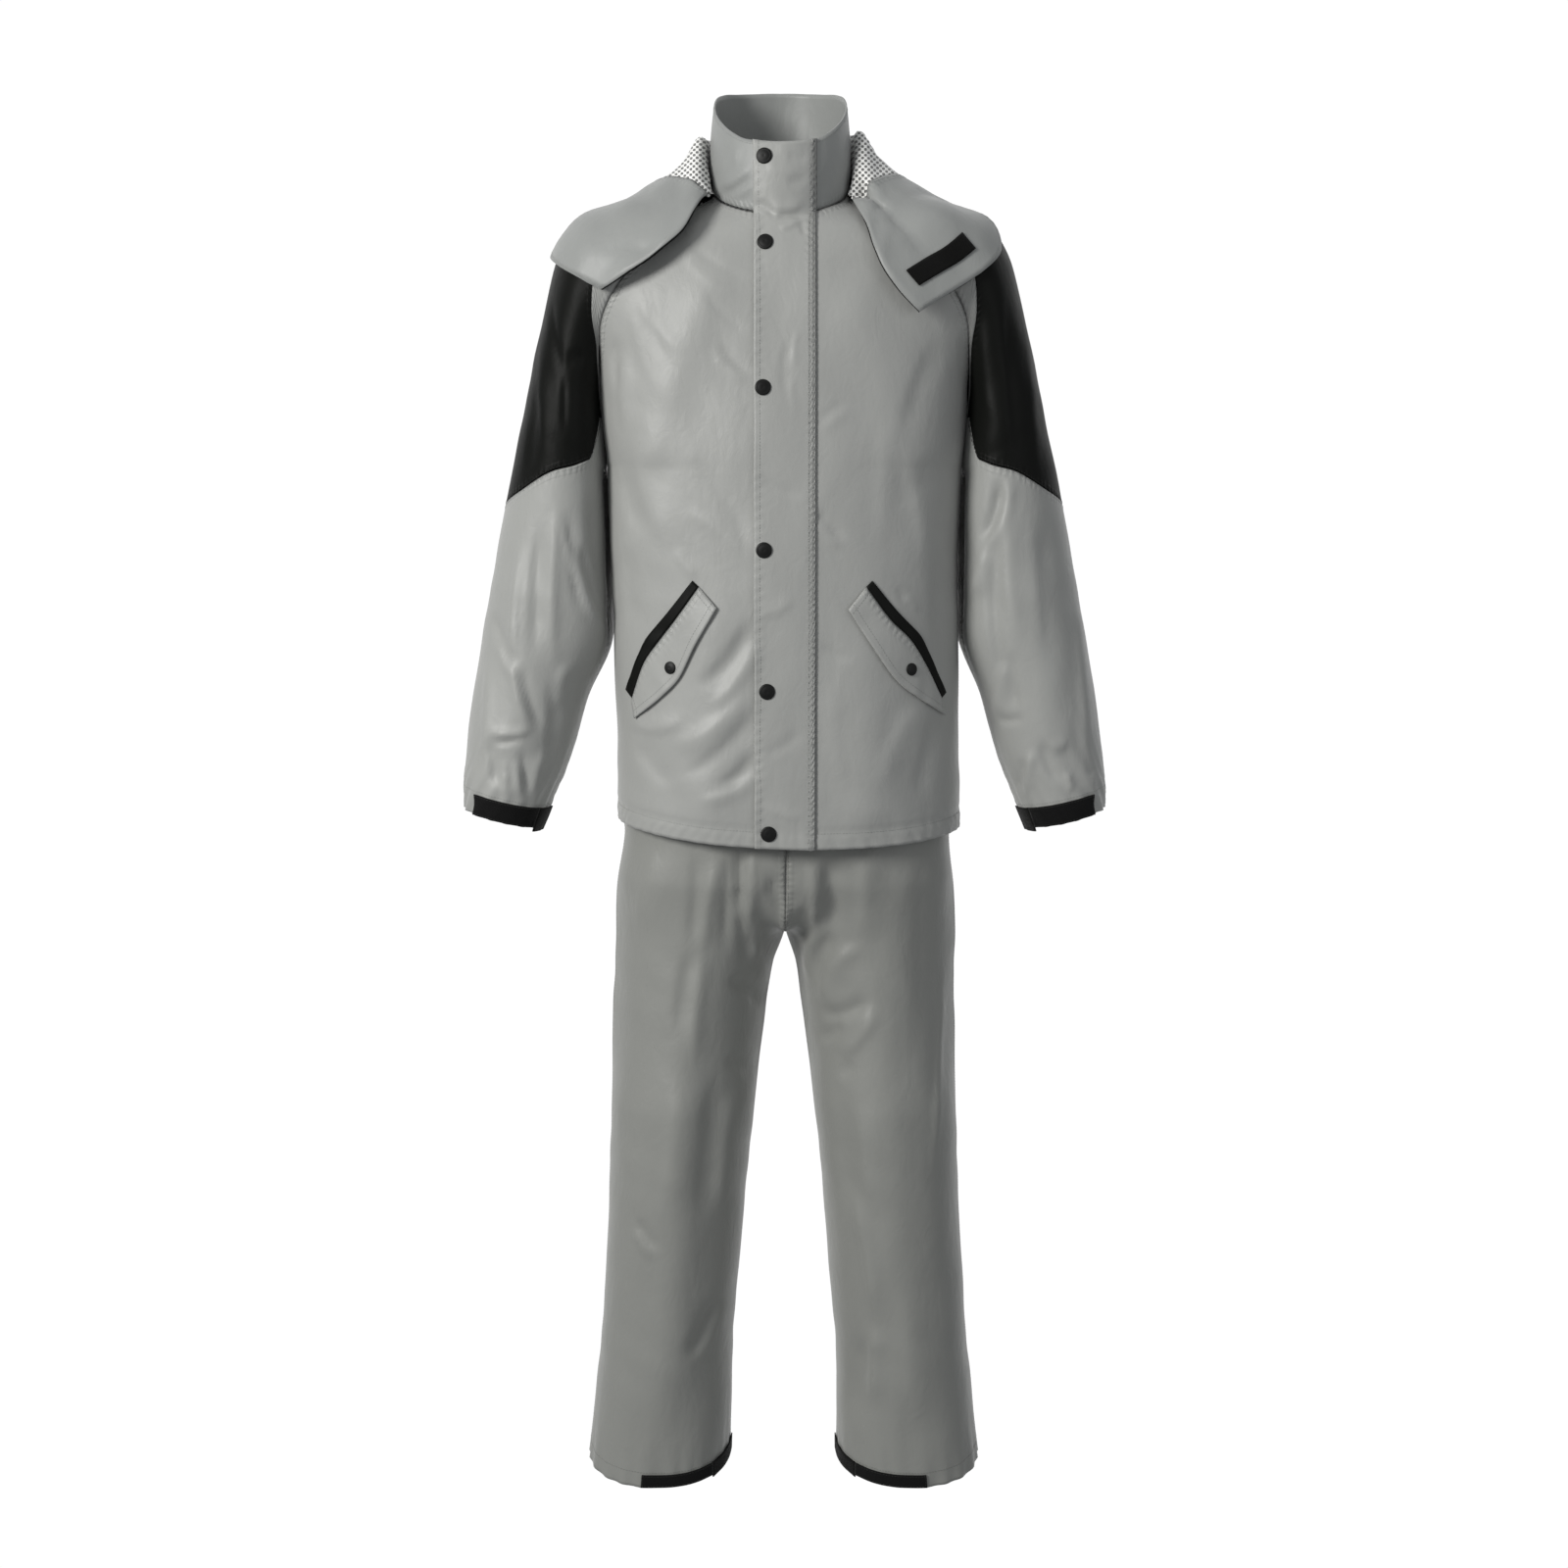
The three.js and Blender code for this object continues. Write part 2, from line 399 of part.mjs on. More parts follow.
// Hood point: u goes round the neck, w from the neck seam to the face opening
const hoodRow = table(HOOD, 'u');
function hoodPoint(u, w) {
  const row = hoodRow(u);
  const turn = row.neck + (row.rim - row.neck) * w + row.bow * Math.sin(Math.PI * w);
  const base = radians(row.neck);
  const across = Math.cos(base) / (NECK.halfWidth + 4);
  const along = Math.sin(base) / (NECK.halfDepth + 4);
  const neckR = 1 / Math.hypot(across, along);
  const neckZ = NECK.middleZ + 6 + NECK.drop * Math.sin(base) * (neckR / NECK.halfDepth);
  const steps = [0, 0.12, 0.28, 0.52, 0.76, 1];
  const outs = [neckR, row.crestR, row.fallR, row.lowR, row.riseR, row.rimR];
  const heights = [neckZ, row.crestZ, row.fallZ, row.lowZ, row.riseZ, row.rimZ];
  const line = new THREE.CatmullRomCurve3(
    steps.map((step, i) => vec(outs[i], 0, heights[i])), false, 'centripetal');
  const spot = line.getPoint(w);
  const shift = jacketLean(spot.z).shift * (1 - smooth((spot.x - 120) / 80));
  return vec(-spot.x * Math.cos(radians(turn)) + shift, spot.x * Math.sin(radians(turn)), spot.z);
}

// Skin: points and triangles from grids, welded where they meet
function newSkin() {
  return { points: [], faces: [], keys: new Map() };
}
const keyOf = (p) => [p.x, p.y, p.z].map((value) => Math.round(value * 200)).join(',');
function weld(skin, point) {
  const key = keyOf(point);
  if (!skin.keys.has(key)) {
    skin.keys.set(key, skin.points.length);
    skin.points.push(point);
  }
  return skin.keys.get(key);
}
function addGrid(skin, columns, rows, pointAt, flip) {
  const index = range(rows + 1).map((j) => range(columns + 1).map((i) => weld(skin, pointAt(i, j))));
  skin.grid = index;
  const addFace = (a, b, c) => {
    if (a === b || b === c || a === c) return;
    skin.faces.push(flip ? [a, c, b] : [a, b, c]);
  };
  for (const j of range(rows)) {
    for (const i of range(columns)) {
      addFace(index[j][i], index[j][i + 1], index[j + 1][i + 1]);
      addFace(index[j][i], index[j + 1][i + 1], index[j + 1][i]);
    }
  }
  return skin;
}

function faceNormal(skin, [a, b, c]) {
  const along = skin.points[b].clone().sub(skin.points[a]);
  const across = skin.points[c].clone().sub(skin.points[a]);
  return along.cross(across);
}
function ownNormals(skin) {
  const normals = skin.points.map(() => vec(0, 0, 0));
  for (const face of skin.faces) {
    const normal = faceNormal(skin, face);
    for (const i of face) normals[i].add(normal);
  }
  return normals.map((normal) => normal.normalize());
}

// Skins that are sewn together share the direction of their wall at the seams
function shareNormals(skins) {
  const sums = new Map();
  for (const skin of skins) {
    skin.normals = ownNormals(skin);
    skin.points.forEach((point, i) => {
      const key = keyOf(point);
      if (!sums.has(key)) sums.set(key, vec(0, 0, 0));
      sums.get(key).add(skin.normals[i]);
    });
  }
  for (const skin of skins) {
    skin.normals = skin.points.map((point, i) => {
      const shared = sums.get(keyOf(point)).clone().normalize();
      return shared.dot(skin.normals[i]) > 0.3 ? shared : skin.normals[i];
    });
  }
}

// Rise of the largest folds at a point
function foldRise(point) {
  let rise = 0;
  for (const fold of FOLDS) {
    if (fold.face * point.y < 20) continue;
    const dx = fold.x1 - fold.x0;
    const dz = fold.z1 - fold.z0;
    const size = Math.hypot(dx, dz);
    const along = ((point.x - fold.x0) * dx + (point.z - fold.z0) * dz) / (size * size);
    const away = ((point.x - fold.x0) * dz - (point.z - fold.z0) * dx) / size;
    if (along < 0 || along > 1) continue;
    const ends = smooth(along / 0.25) * smooth((1 - along) / 0.15);
    const turned = smooth((fold.face * point.y - 20) / 40);
    rise += fold.rise * ends * turned * Math.exp(-((away / fold.half) ** 2) * 2);
  }
  return rise;
}
function raiseFolds(skins) {
  shareNormals(skins);
  const moves = new Map();
  for (const skin of skins) {
    skin.points.forEach((point, i) => {
      const key = keyOf(point);
      if (!moves.has(key)) moves.set(key, skin.normals[i].clone().multiplyScalar(foldRise(point)));
    });
  }
  for (const skin of skins) skin.points = skin.points.map((point) => point.clone().add(moves.get(keyOf(point))));
  shareNormals(skins);
}

// Closed wall from a skin: outer face at lift, inner face one wall below, edges drawn in for the seam
function wallFrom(skin, wall, lift = -SEAM / 2, seam = SEAM) {
  const normals = skin.normals || ownNormals(skin);
  const edges = new Map();
  for (const [a, b, c] of skin.faces) {
    for (const [from, to] of [[a, b], [b, c], [c, a]]) edges.set(`${from},${to}`, [from, to]);
  }
  const border = [...edges.values()].filter(([from, to]) => !edges.has(`${to},${from}`));
  const inward = new Map();
  for (const [from, to] of border) {
    const way = skin.points[to].clone().sub(skin.points[from]);
    for (const i of [from, to]) {
      if (!inward.has(i)) inward.set(i, vec(0, 0, 0));
      inward.get(i).add(normals[i].clone().cross(way).normalize());
    }
  }
  const placed = skin.points.map((point, i) => {
    const spot = point.clone();
    if (inward.has(i)) spot.addScaledVector(inward.get(i).normalize(), seam / 2);
    return spot;
  });
  const outer = placed.map((spot, i) => spot.clone().addScaledVector(normals[i], lift));
  const inner = outer.map((spot, i) => spot.clone().addScaledVector(normals[i], -wall));
  const count = skin.points.length;
  const faces = [];
  for (const [a, b, c] of skin.faces) {
    faces.push([a, b, c]);
    faces.push([a + count, c + count, b + count]);
  }
  for (const [from, to] of border) {
    const ends = skin.points[to].clone().sub(skin.points[from]);
    if ((ends.z || ends.x || ends.y) > 0) {
      faces.push([to, from, from + count]);
      faces.push([to, from + count, to + count]);
    } else {
      faces.push([to, from, to + count]);
      faces.push([from, from + count, to + count]);
    }
  }
  return solid([...outer, ...inner], faces);
}

function solid(points, faces) {
  const geometry = new THREE.BufferGeometry();
  geometry.setAttribute('position', new THREE.Float32BufferAttribute(points.flatMap((p) => [p.x, p.y, p.z]), 3));
  geometry.setIndex(faces.flat());
  geometry.computeVertexNormals();
  return geometry;
}

// Where a line from the front or the back first meets a set of skins, seams and hems bridged
function hitFrom(skins, x, z, facing) {
  for (const step of [0, 0.6, -0.6, 1.2, -1.2, 2.5, -2.5]) {
    const hit = exactHit(skins, x, z + step, facing);
    if (hit) return { point: vec(x, hit.point.y, z), normal: hit.normal };
  }
  throw new Error(`no cloth at ${x}, ${z}`);
}
function exactHit(skins, x, z, facing) {
  let best = null;
  for (const skin of skins) {
    for (const [a, b, c] of skin.faces) {
      const [pa, pb, pc] = [skin.points[a], skin.points[b], skin.points[c]];
      const area = (pb.x - pa.x) * (pc.z - pa.z) - (pc.x - pa.x) * (pb.z - pa.z);
      if (Math.abs(area) < 1e-6) continue;
      const s = ((x - pa.x) * (pc.z - pa.z) - (pc.x - pa.x) * (z - pa.z)) / area;
      const t = ((pb.x - pa.x) * (z - pa.z) - (x - pa.x) * (pb.z - pa.z)) / area;
      if (s < -1e-6 || t < -1e-6 || s + t > 1 + 1e-6) continue;
      const y = pa.y + s * (pb.y - pa.y) + t * (pc.y - pa.y);
      if (best && facing * y <= facing * best.point.y) continue;
      const normal = skin.normals[a].clone().multiplyScalar(1 - s - t);
      normal.addScaledVector(skin.normals[b], s).addScaledVector(skin.normals[c], t).normalize();
      best = { point: vec(x, y, z), normal };
    }
  }
  return best;
}

// Piece laid on the front of the jacket: a grid of x and z places, found on the cloth and moved out
function laidPiece(skins, columns, rows, placeAt, wall, flip) {
  const skin = newSkin();
  const normals = [];
  addGrid(skin, columns, rows, (i, j) => {
    const [x, z] = placeAt(i, j);
    const hit = hitFrom(skins, x, z, -1);
    normals.push(hit.normal);
    return hit.point;
  }, flip);
  skin.normals = normals;
  return wallFrom(skin, wall, LIFT + wall, 0);
}

// Place between the points of a skin's grid, by column and row, and past its last row
function onGrid(skin, i, j) {
  const i0 = Math.min(skin.grid[0].length - 2, Math.floor(i));
  const j0 = Math.max(0, Math.min(skin.grid.length - 2, Math.floor(j)));
  const [s, t] = [i - i0, j - j0];
  const corners = s > t
    ? [[i0, j0, 1 - s], [i0 + 1, j0, s - t], [i0 + 1, j0 + 1, t]]
    : [[i0, j0, 1 - t], [i0, j0 + 1, t - s], [i0 + 1, j0 + 1, s]];
  const point = vec(0, 0, 0);
  const normal = vec(0, 0, 0);
  for (const [column, row, share] of corners) {
    point.addScaledVector(skin.points[skin.grid[row][column]], share);
    normal.addScaledVector(skin.normals[skin.grid[row][column]], share);
  }
  return { point, normal: normal.normalize() };
}

// Piece laid on a skin by columns and rows of its grid
function gridPiece(base, columns, rows, placeAt, wall, lift, flip) {
  const skin = newSkin();
  const normals = [];
  addGrid(skin, columns, rows, (i, j) => {
    const spot = onGrid(base, ...placeAt(i, j));
    normals.push(spot.normal);
    return spot.point;
  }, flip);
  skin.normals = normals;
  return wallFrom(skin, wall, lift + wall, SEAM);
}

// Nearest place on a set of skins
function nearest(skins, point) {
  const triangle = new THREE.Triangle();
  const spot = vec(0, 0, 0);
  let best = null;
  for (const skin of skins) {
    for (const [a, b, c] of skin.faces) {
      triangle.set(skin.points[a], skin.points[b], skin.points[c]);
      triangle.closestPointToPoint(point, spot);
      const away = spot.distanceTo(point);
      if (best && away >= best.away) continue;
      const normal = skin.normals[a].clone().add(skin.normals[b]).add(skin.normals[c]).normalize();
      best = { away, point: spot.clone(), normal };
    }
  }
  return best;
}

// The hood rests on the jacket: a point that comes too near is moved out to the clearance
function restOn(skins, point, clearance) {
  for (const pass of range(3)) {
    const near = nearest(skins, point);
    const height = point.clone().sub(near.point).dot(near.normal);
    if (height >= clearance || (near.away >= clearance && height > 0)) return point;
    point = near.point.clone().addScaledVector(near.normal, clearance + 0.2 * pass);
  }
  return point;
}

// Between its points the hood keeps clear too: a triangle that comes too near lifts its corners
function settle(base, cloth, clear) {
  const weights = [[1, 1, 1], [1, 1, 0], [0, 1, 1], [1, 0, 1]];
  for (const pass of range(4)) {
    for (const face of cloth.faces) {
      for (const weight of weights) {
        const total = weight[0] + weight[1] + weight[2];
        const middle = vec(0, 0, 0);
        face.forEach((k, n) => middle.addScaledVector(cloth.points[k], weight[n] / total));
        const near = nearest(base, middle);
        const height = middle.sub(near.point).dot(near.normal);
        if (height >= clear || height < -30 || near.away > 30) continue;
        face.forEach((k, n) => {
          if (weight[n]) cloth.points[k].addScaledVector(near.normal, clear - height + 0.1 * pass);
        });
      }
    }
  }
}

// Domed press stud with a flat back, on a point of the cloth
function snapGeometry(radius, point, normal) {
  const shape = [
    [0, 0], [radius, 0], [radius, 0.9], [radius * 0.9, 1.7], [radius * 0.5, SNAP.height - 0.15], [0, SNAP.height],
  ];
  const rings = shape.slice(1, -1);
  const points = [vec(0, 0, 0)];
  for (const [r, h] of rings) {
    for (const k of range(SNAP.sides)) {
      const angle = (2 * Math.PI * k) / SNAP.sides;
      points.push(vec(r * Math.cos(angle), r * Math.sin(angle), h));
    }
  }
  points.push(vec(0, 0, SNAP.height));
  const ring = (j, k) => 1 + j * SNAP.sides + (k % SNAP.sides);
  const faces = [];
  for (const k of range(SNAP.sides)) {
    faces.push([0, ring(0, k + 1), ring(0, k)]);
    for (const j of range(rings.length - 1)) {
      faces.push([ring(j, k), ring(j, k + 1), ring(j + 1, k + 1)]);
      faces.push([ring(j, k), ring(j + 1, k + 1), ring(j + 1, k)]);
    }
    faces.push([ring(rings.length - 1, k), ring(rings.length - 1, k + 1), points.length - 1]);
  }
  const turn = new THREE.Quaternion().setFromUnitVectors(vec(0, 0, 1), normal);
  return solid(points.map((p) => p.applyQuaternion(turn).add(point)), faces);
}

// Jacket skins
const BODY_COLUMNS = 8;
const SHOULDER_ROWS = 10;
const SHOULDER_CORNER = 0.88;
const seamSteps = range(SHOULDER_ROWS + 1).map((j) => (SHOULDER_CORNER * j) / SHOULDER_ROWS);
const BODY_V = [0, 0.12, 0.26, 0.4, 0.54, 0.68, 0.82, 0.92, 1, ...seamSteps.map((s) => 2 - s).reverse()];
function frontSkin(side) {
  return addGrid(newSkin(), BODY_COLUMNS, BODY_V.length - 1,
    (i, j) => onJacket(frontPoint(i / BODY_COLUMNS, BODY_V[j]), side), side < 0);
}
function backSkin() {
  const skin = newSkin();
  for (const side of [-1, 1]) {
    addGrid(skin, BODY_COLUMNS, BODY_V.length - 1,
      (i, j) => onJacket(backPoint(i / BODY_COLUMNS, BODY_V[j]), side), side > 0);
  }
  return skin;
}

const shoulderSide = table(SHOULDER_SIDE, 'v');
const shoulderEnd = table(SHOULDER_END, 'c');
const SLEEVE_HALF_COLUMNS = 7;
const LOWER_ROWS = 11;
const UNDER_ARM_A = shoulderSide(1).a;
const spread = range(2 * SLEEVE_HALF_COLUMNS + 1).map((i) => i / SLEEVE_HALF_COLUMNS - 1);
const endV = (c) => (Math.abs(c) > 0.9999 ? SHOULDER_CORNER : shoulderEnd(Math.abs(c)).v);

function shoulderSkin(side) {
  return addGrid(newSkin(), spread.length - 1, SHOULDER_ROWS, (i, j) => {
    const v = Math.abs(spread[i]) === 1 ? seamSteps[j] : (endV(spread[i]) * j) / SHOULDER_ROWS;
    return onJacket(sleevePoint(spread[i] * shoulderSide(v).a, v), side);
  }, side > 0);
}

// Grey sleeve: the tube below the shoulder piece, and a strip up each raglan seam beside it
function lowerSleeveSkin(side) {
  const skin = newSkin();
  const seamStep = 1 - SHOULDER_CORNER;
  const columns = [-1, ...spread.map((c) => c * UNDER_ARM_A), 1];
  const startV = (a) => endV(Math.min(1, Math.abs(a) / UNDER_ARM_A));
  addGrid(skin, columns.length - 1, LOWER_ROWS + 1, (i, j) => {
    const start = startV(columns[i]);
    const second = Math.abs(columns[i]) === 1 ? 1 : start + seamStep;
    const v = j === 0 ? start : second + ((CUFF_V - second) * (j - 1)) / LOWER_ROWS;
    return onJacket(sleevePoint(columns[i], v), side);
  }, side > 0);
  const tube = skin.grid;
  const first = seamSteps.findIndex((v) => shoulderSide(v).a < 1) - 1;
  for (const towards of [-1, 1]) {
    addGrid(skin, 1, SHOULDER_ROWS - first, (i, j) => {
      const v = seamSteps[first + j];
      const a = i === 0 ? shoulderSide(v).a : 1;
      return onJacket(sleevePoint(towards * a, v), side);
    }, side * towards > 0);
  }
  skin.grid = tube;
  return skin;
}

function collarSkin() {
  const step = (360 - 2 * COLLAR.parting) / COLLAR.columns;
  return addGrid(newSkin(), COLLAR.columns, COLLAR.rows, (i, j) => {
    const degrees = COLLAR.parting + step * i;
    const share = j / COLLAR.rows;
    const point = neckPoint(degrees);
    const bulge = 3 * Math.sin(Math.PI * share) + COLLAR.flare * share;
    const way = vec(point.x, point.y, 0).normalize();
    point.addScaledVector(way, bulge);
    point.z += SEAM / 2 + COLLAR.height * share;
    return onJacket(point, 1);
  }, false);
}

// Trouser skins
const LEG_COLUMNS = 8;
const LEG_V = [0, 0.3, 0.55, 0.72, 0.85, 0.93, 1, 1.06, 1.16, 1.3, 1.5, 1.75, 2, 2.25, 2.44, 2.5];
function legSkin(pointAt, side, flip) {
  return addGrid(newSkin(), LEG_COLUMNS, LEG_V.length - 1,
    (i, j) => onTrousers(pointAt(i / LEG_COLUMNS, LEG_V[j]), side), flip);
}
function waistbandSkin() {
  const skin = newSkin();
  const quarters = [[legFront, 1], [legBack, 1], [legBack, -1], [legFront, -1]];
  for (const [pointAt, side] of quarters) {
    const flip = (pointAt === legFront) === (side > 0);
    addGrid(skin, LEG_COLUMNS, 1, (i, j) => {
      const point = onTrousers(pointAt(i / LEG_COLUMNS, 0), side);
      point.z += j * WAISTBAND.height;
      return point;
    }, flip);
  }
  return skin;
}

// Hood skin, resting on the jacket; the inside of the hood is the face that shows.
// Its first rows carry the net lining, the rest the facing.
const hoodU = (i) => (10 * i) / HOOD_GRID.columns;
const facingSeam = table(FACING_SEAM, 'u');
const HOOD_ROWS = HOOD_GRID.netRows + HOOD_GRID.facingRows;
function hoodRowPlace(u, j) {
  const seam = facingSeam(u).w;
  if (j <= HOOD_GRID.netRows) return (seam * j) / HOOD_GRID.netRows;
  return seam + ((1 - seam) * (j - HOOD_GRID.netRows)) / HOOD_GRID.facingRows;
}
function hoodSkin(base) {
  const cloth = newSkin();
  addGrid(cloth, HOOD_GRID.columns, HOOD_ROWS, (i, j) => {
    const u = hoodU(i);
    return restOn(base, hoodPoint(u, hoodRowPlace(u, j)), HOOD_GRID.rest);
  }, false);
  settle(base, cloth, HOOD_GRID.clear);
  shareNormals([cloth]);
  return cloth;
}
function hoodPart(cloth, fromRow, toRow) {
  const skin = newSkin();
  const normals = [];
  addGrid(skin, HOOD_GRID.columns, toRow - fromRow, (i, j) => {
    const place = cloth.grid[fromRow + j][i];
    normals.push(cloth.normals[place]);
    return cloth.points[place];
  }, false);
  skin.normals = normals;
  return skin;
}

const group = new THREE.Group();
group.name = 'rain_suit';
// Colour and roughness by the start of a node's name, the first match counting
const LOOKS = [
  ['sleeve_shoulder', 0x181a16, 0.5],
  ['hood_shell', 0x181a16, 0.5],
  ['pocket_welt', 0x181a16, 0.5],
  ['hood_net', 0xdcdcd8, 0.85],
  ['hood_hook_tape', 0x0c0c0b, 0.8],
  ['cuff_tape', 0x0e0e0e, 0.8],
  ['hem_tape', 0x0e0e0e, 0.8],
  ['snap', 0x171817, 0.4],
  ['pocket_snap', 0x171817, 0.4],
  ['trouser', 0x82837f, 0.46],
  ['waistband', 0x82837f, 0.46],
  ['hem_tab', 0x82837f, 0.46],
  ['', 0xa0a29e, 0.46],
];
function add(name, geometry) {
  const [, color, roughness] = LOOKS.find(([start]) => name.startsWith(start));
  const material = new THREE.MeshStandardMaterial({ color, roughness, metalness: 0 });
  const mesh = new THREE.Mesh(geometry, material);
  mesh.name = name;
  group.add(mesh);
}

// Jacket
const front = { left: frontSkin(1), right: frontSkin(-1) };
const back = backSkin();
const shoulder = { left: shoulderSkin(1), right: shoulderSkin(-1) };
const lower = { left: lowerSleeveSkin(1), right: lowerSleeveSkin(-1) };
const collar = collarSkin();
const jacketSkins = [front.left, front.right, back, shoulder.left, shoulder.right, lower.left, lower.right];
raiseFolds(jacketSkins);
shareNormals([collar]);
for (const side of ['left', 'right']) {
  add(`front_${side}`, wallFrom(front[side], WALL));
  add(`sleeve_shoulder_${side}`, wallFrom(shoulder[side], WALL));
  add(`sleeve_lower_${side}`, wallFrom(lower[side], WALL));
}
add('back', wallFrom(back, WALL));
add('collar', wallFrom(collar, WALL));

// Storm flap and its press studs
const frontFace = [front.left, front.right, collar];
const bothSides = (j) => [...front.right.grid[j].map((k) => [front.right, k]).reverse(),
  ...front.left.grid[j].slice(1).map((k) => [front.left, k])];
const roundCollar = (j) => {
  const places = collar.grid[j].map((k) => [collar, k]);
  const quarter = Math.floor(places.length / 4);
  return [...places.slice(-quarter), ...places.slice(0, quarter)];
};
const flapRows = [...range(BODY_V.length - 1).map(bothSides), ...range(COLLAR.rows + 1).map(roundCollar)];
function onRow(places, x) {
  const spots = places.map(([skin, k]) => ({ point: skin.points[k], normal: skin.normals[k] }));
  const i = spots.findIndex((spot, n) => n > 0 && spot.point.x >= x);
  const [low, high] = [spots[i - 1], spots[i]];
  const share = (x - low.point.x) / (high.point.x - low.point.x);
  return { point: low.point.clone().lerp(high.point, share), normal: low.normal.clone().lerp(high.normal, share) };
}
const flapSkin = newSkin();
const flapNormals = [];
addGrid(flapSkin, FLAP.columns, flapRows.length - 1, (i, j) => {
  const x = FLAP.freeX + ((FLAP.sewnX - FLAP.freeX) * i) / FLAP.columns;
  const spot = onRow(flapRows[j], x);
  flapNormals.push(spot.normal.normalize());
  return spot.point;
}, false);
flapSkin.normals = flapNormals;
add('storm_flap', wallFrom(flapSkin, FLAP.wall, FLAP.lift + FLAP.wall));
for (const { name, x, z } of FRONT_SNAPS) {
  const { point, normal } = hitFrom(frontFace, x, z, -1);
  const seat = FLAP.lift + FLAP.wall + SNAP.seat;
  add(name, snapGeometry(SNAP.radius, point.addScaledVector(normal, seat), normal));
}

// Pockets
const POCKET_ROWS = 8;
for (const [side, rows] of [['right', POCKET_RIGHT], ['left', POCKET_LEFT]]) {
  const at = table(rows.map((row, k) => ({ k, ...row })), 'k');
  const flip = side === 'left';
  const row = (j) => at((4 * j) / POCKET_ROWS);
  add(`pocket_welt_${side}`, laidPiece([front[side]], 1, POCKET_ROWS,
    (i, j) => (i === 0 ? [row(j).weltX, row(j).weltZ] : [row(j).lineX, row(j).lineZ]), 1.4, !flip));
  add(`pocket_flap_${side}`, laidPiece([front[side]], 2, POCKET_ROWS, (i, j) => {
    const { lineX, lineZ, freeX, freeZ } = row(j);
    const share = 0.02 + (0.98 * i) / 2;
    return [lineX + (freeX - lineX) * share, lineZ + (freeZ - lineZ) * share];
  }, WALL, !flip));
}
for (const { name, x, z } of POCKET_SNAPS) {
  const { point, normal } = hitFrom([front.left, front.right], x, z, -1);
  const seat = LIFT + WALL + SNAP.seat;
  add(name, snapGeometry(POCKET_SNAP_RADIUS, point.addScaledVector(normal, seat), normal));
}

// Cuff tapes
for (const side of ['right', 'left']) {
  const base = lower[side];
  const last = base.grid.length - 1;
  const rowHeight = sleevePoint(0, CUFF_V - (CUFF_V - 1) / LOWER_ROWS).z - sleevePoint(0, CUFF_V).z;
  const piece = (from, to, drop) => gridPiece(base, from - to, 1,
    (i, j) => [from - i, j === 0 ? last + drop / rowHeight : last - CUFF_TAPE.height / rowHeight],
    CUFF_TAPE.wall, LIFT, side === 'left');
  add(`cuff_tape_${side}`, piece(CUFF_TAPE.from, CUFF_TAPE.to, 0));
  add(`cuff_tab_${side}`, piece(CUFF_TAPE.to, CUFF_TAPE.tabTo, CUFF_TAPE.tabDrop));
}

// Hood
const hood = hoodSkin([...jacketSkins, collar]);
add('hood_shell', wallFrom(hoodPart(hood, 0, HOOD_ROWS), HOOD_WALL));
add('hood_net', wallFrom(hoodPart(hood, 0, HOOD_GRID.netRows), NET_WALL, LIFT + NET_WALL));
add('hood_facing', wallFrom(hoodPart(hood, HOOD_GRID.netRows, HOOD_ROWS), HOOD_WALL, LIFT + HOOD_WALL));
add('hood_hook_tape', gridPiece(hood, 8, 3, (i, j) => {
  const { fromI, fromJ, toI, toJ, width } = HOOK_TAPE;
  const share = i / 8;
  return [fromI + (toI - fromI) * share, fromJ + (toJ - fromJ) * share + width * (j / 3)];
}, HOOK_TAPE.wall, LIFT + HOOD_WALL + HOOK_TAPE.lift, true));

// Trousers
const trousers = {
  trouser_front_left: legSkin(legFront, 1, false),
  trouser_front_right: legSkin(legFront, -1, true),
  trouser_back_left: legSkin(legBack, 1, true),
  trouser_back_right: legSkin(legBack, -1, false),
  waistband: waistbandSkin(),
};
raiseFolds(Object.values(trousers));
for (const [name, skin] of Object.entries(trousers)) {
  add(name, wallFrom(skin, name === 'waistband' ? WAISTBAND.wall : WALL));
}
for (const side of ['right', 'left']) {
  const base = trousers[`trouser_front_${side}`];
  const last = base.grid.length - 1;
  const rowHeight = 26;
  const piece = (from, to, drop) => {
    const between = range(LEG_COLUMNS).filter((column) => column > from && column < to);
    const columns = [from, ...between, to];
    return gridPiece(base, columns.length - 1, 1,
      (i, j) => [columns[i], j === 0 ? last + drop / rowHeight : last - HEM_TAPE.height / rowHeight],
      HEM_TAPE.wall, LIFT, side === 'left');
  };
  add(`hem_tape_${side}`, piece(HEM_TAPE.from, HEM_TAPE.to, 0));
  add(`hem_tab_${side}`, piece(HEM_TAPE.to, HEM_TAPE.tabTo, HEM_TAPE.tabDrop));
}

export default group;
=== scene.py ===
"""Rain suit: a hooded jacket over trousers, in the form it has on a wearer.

Sizes are millimetres in the suit's own frame until a mesh is made: +X is the wearer's left,
-Y the front, +Z up, and the origin lies between the shoulders where the neck begins.
"""
import math
from types import SimpleNamespace

import bpy
import numpy as np
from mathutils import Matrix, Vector
from mathutils.bvhtree import BVHTree


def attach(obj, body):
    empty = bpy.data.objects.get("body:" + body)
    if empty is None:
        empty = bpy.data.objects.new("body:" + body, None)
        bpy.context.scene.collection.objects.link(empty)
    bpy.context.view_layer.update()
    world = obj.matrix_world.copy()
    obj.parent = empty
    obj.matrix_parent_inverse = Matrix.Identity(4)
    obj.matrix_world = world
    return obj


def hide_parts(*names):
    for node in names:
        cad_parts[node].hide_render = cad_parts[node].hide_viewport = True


MM = 0.001

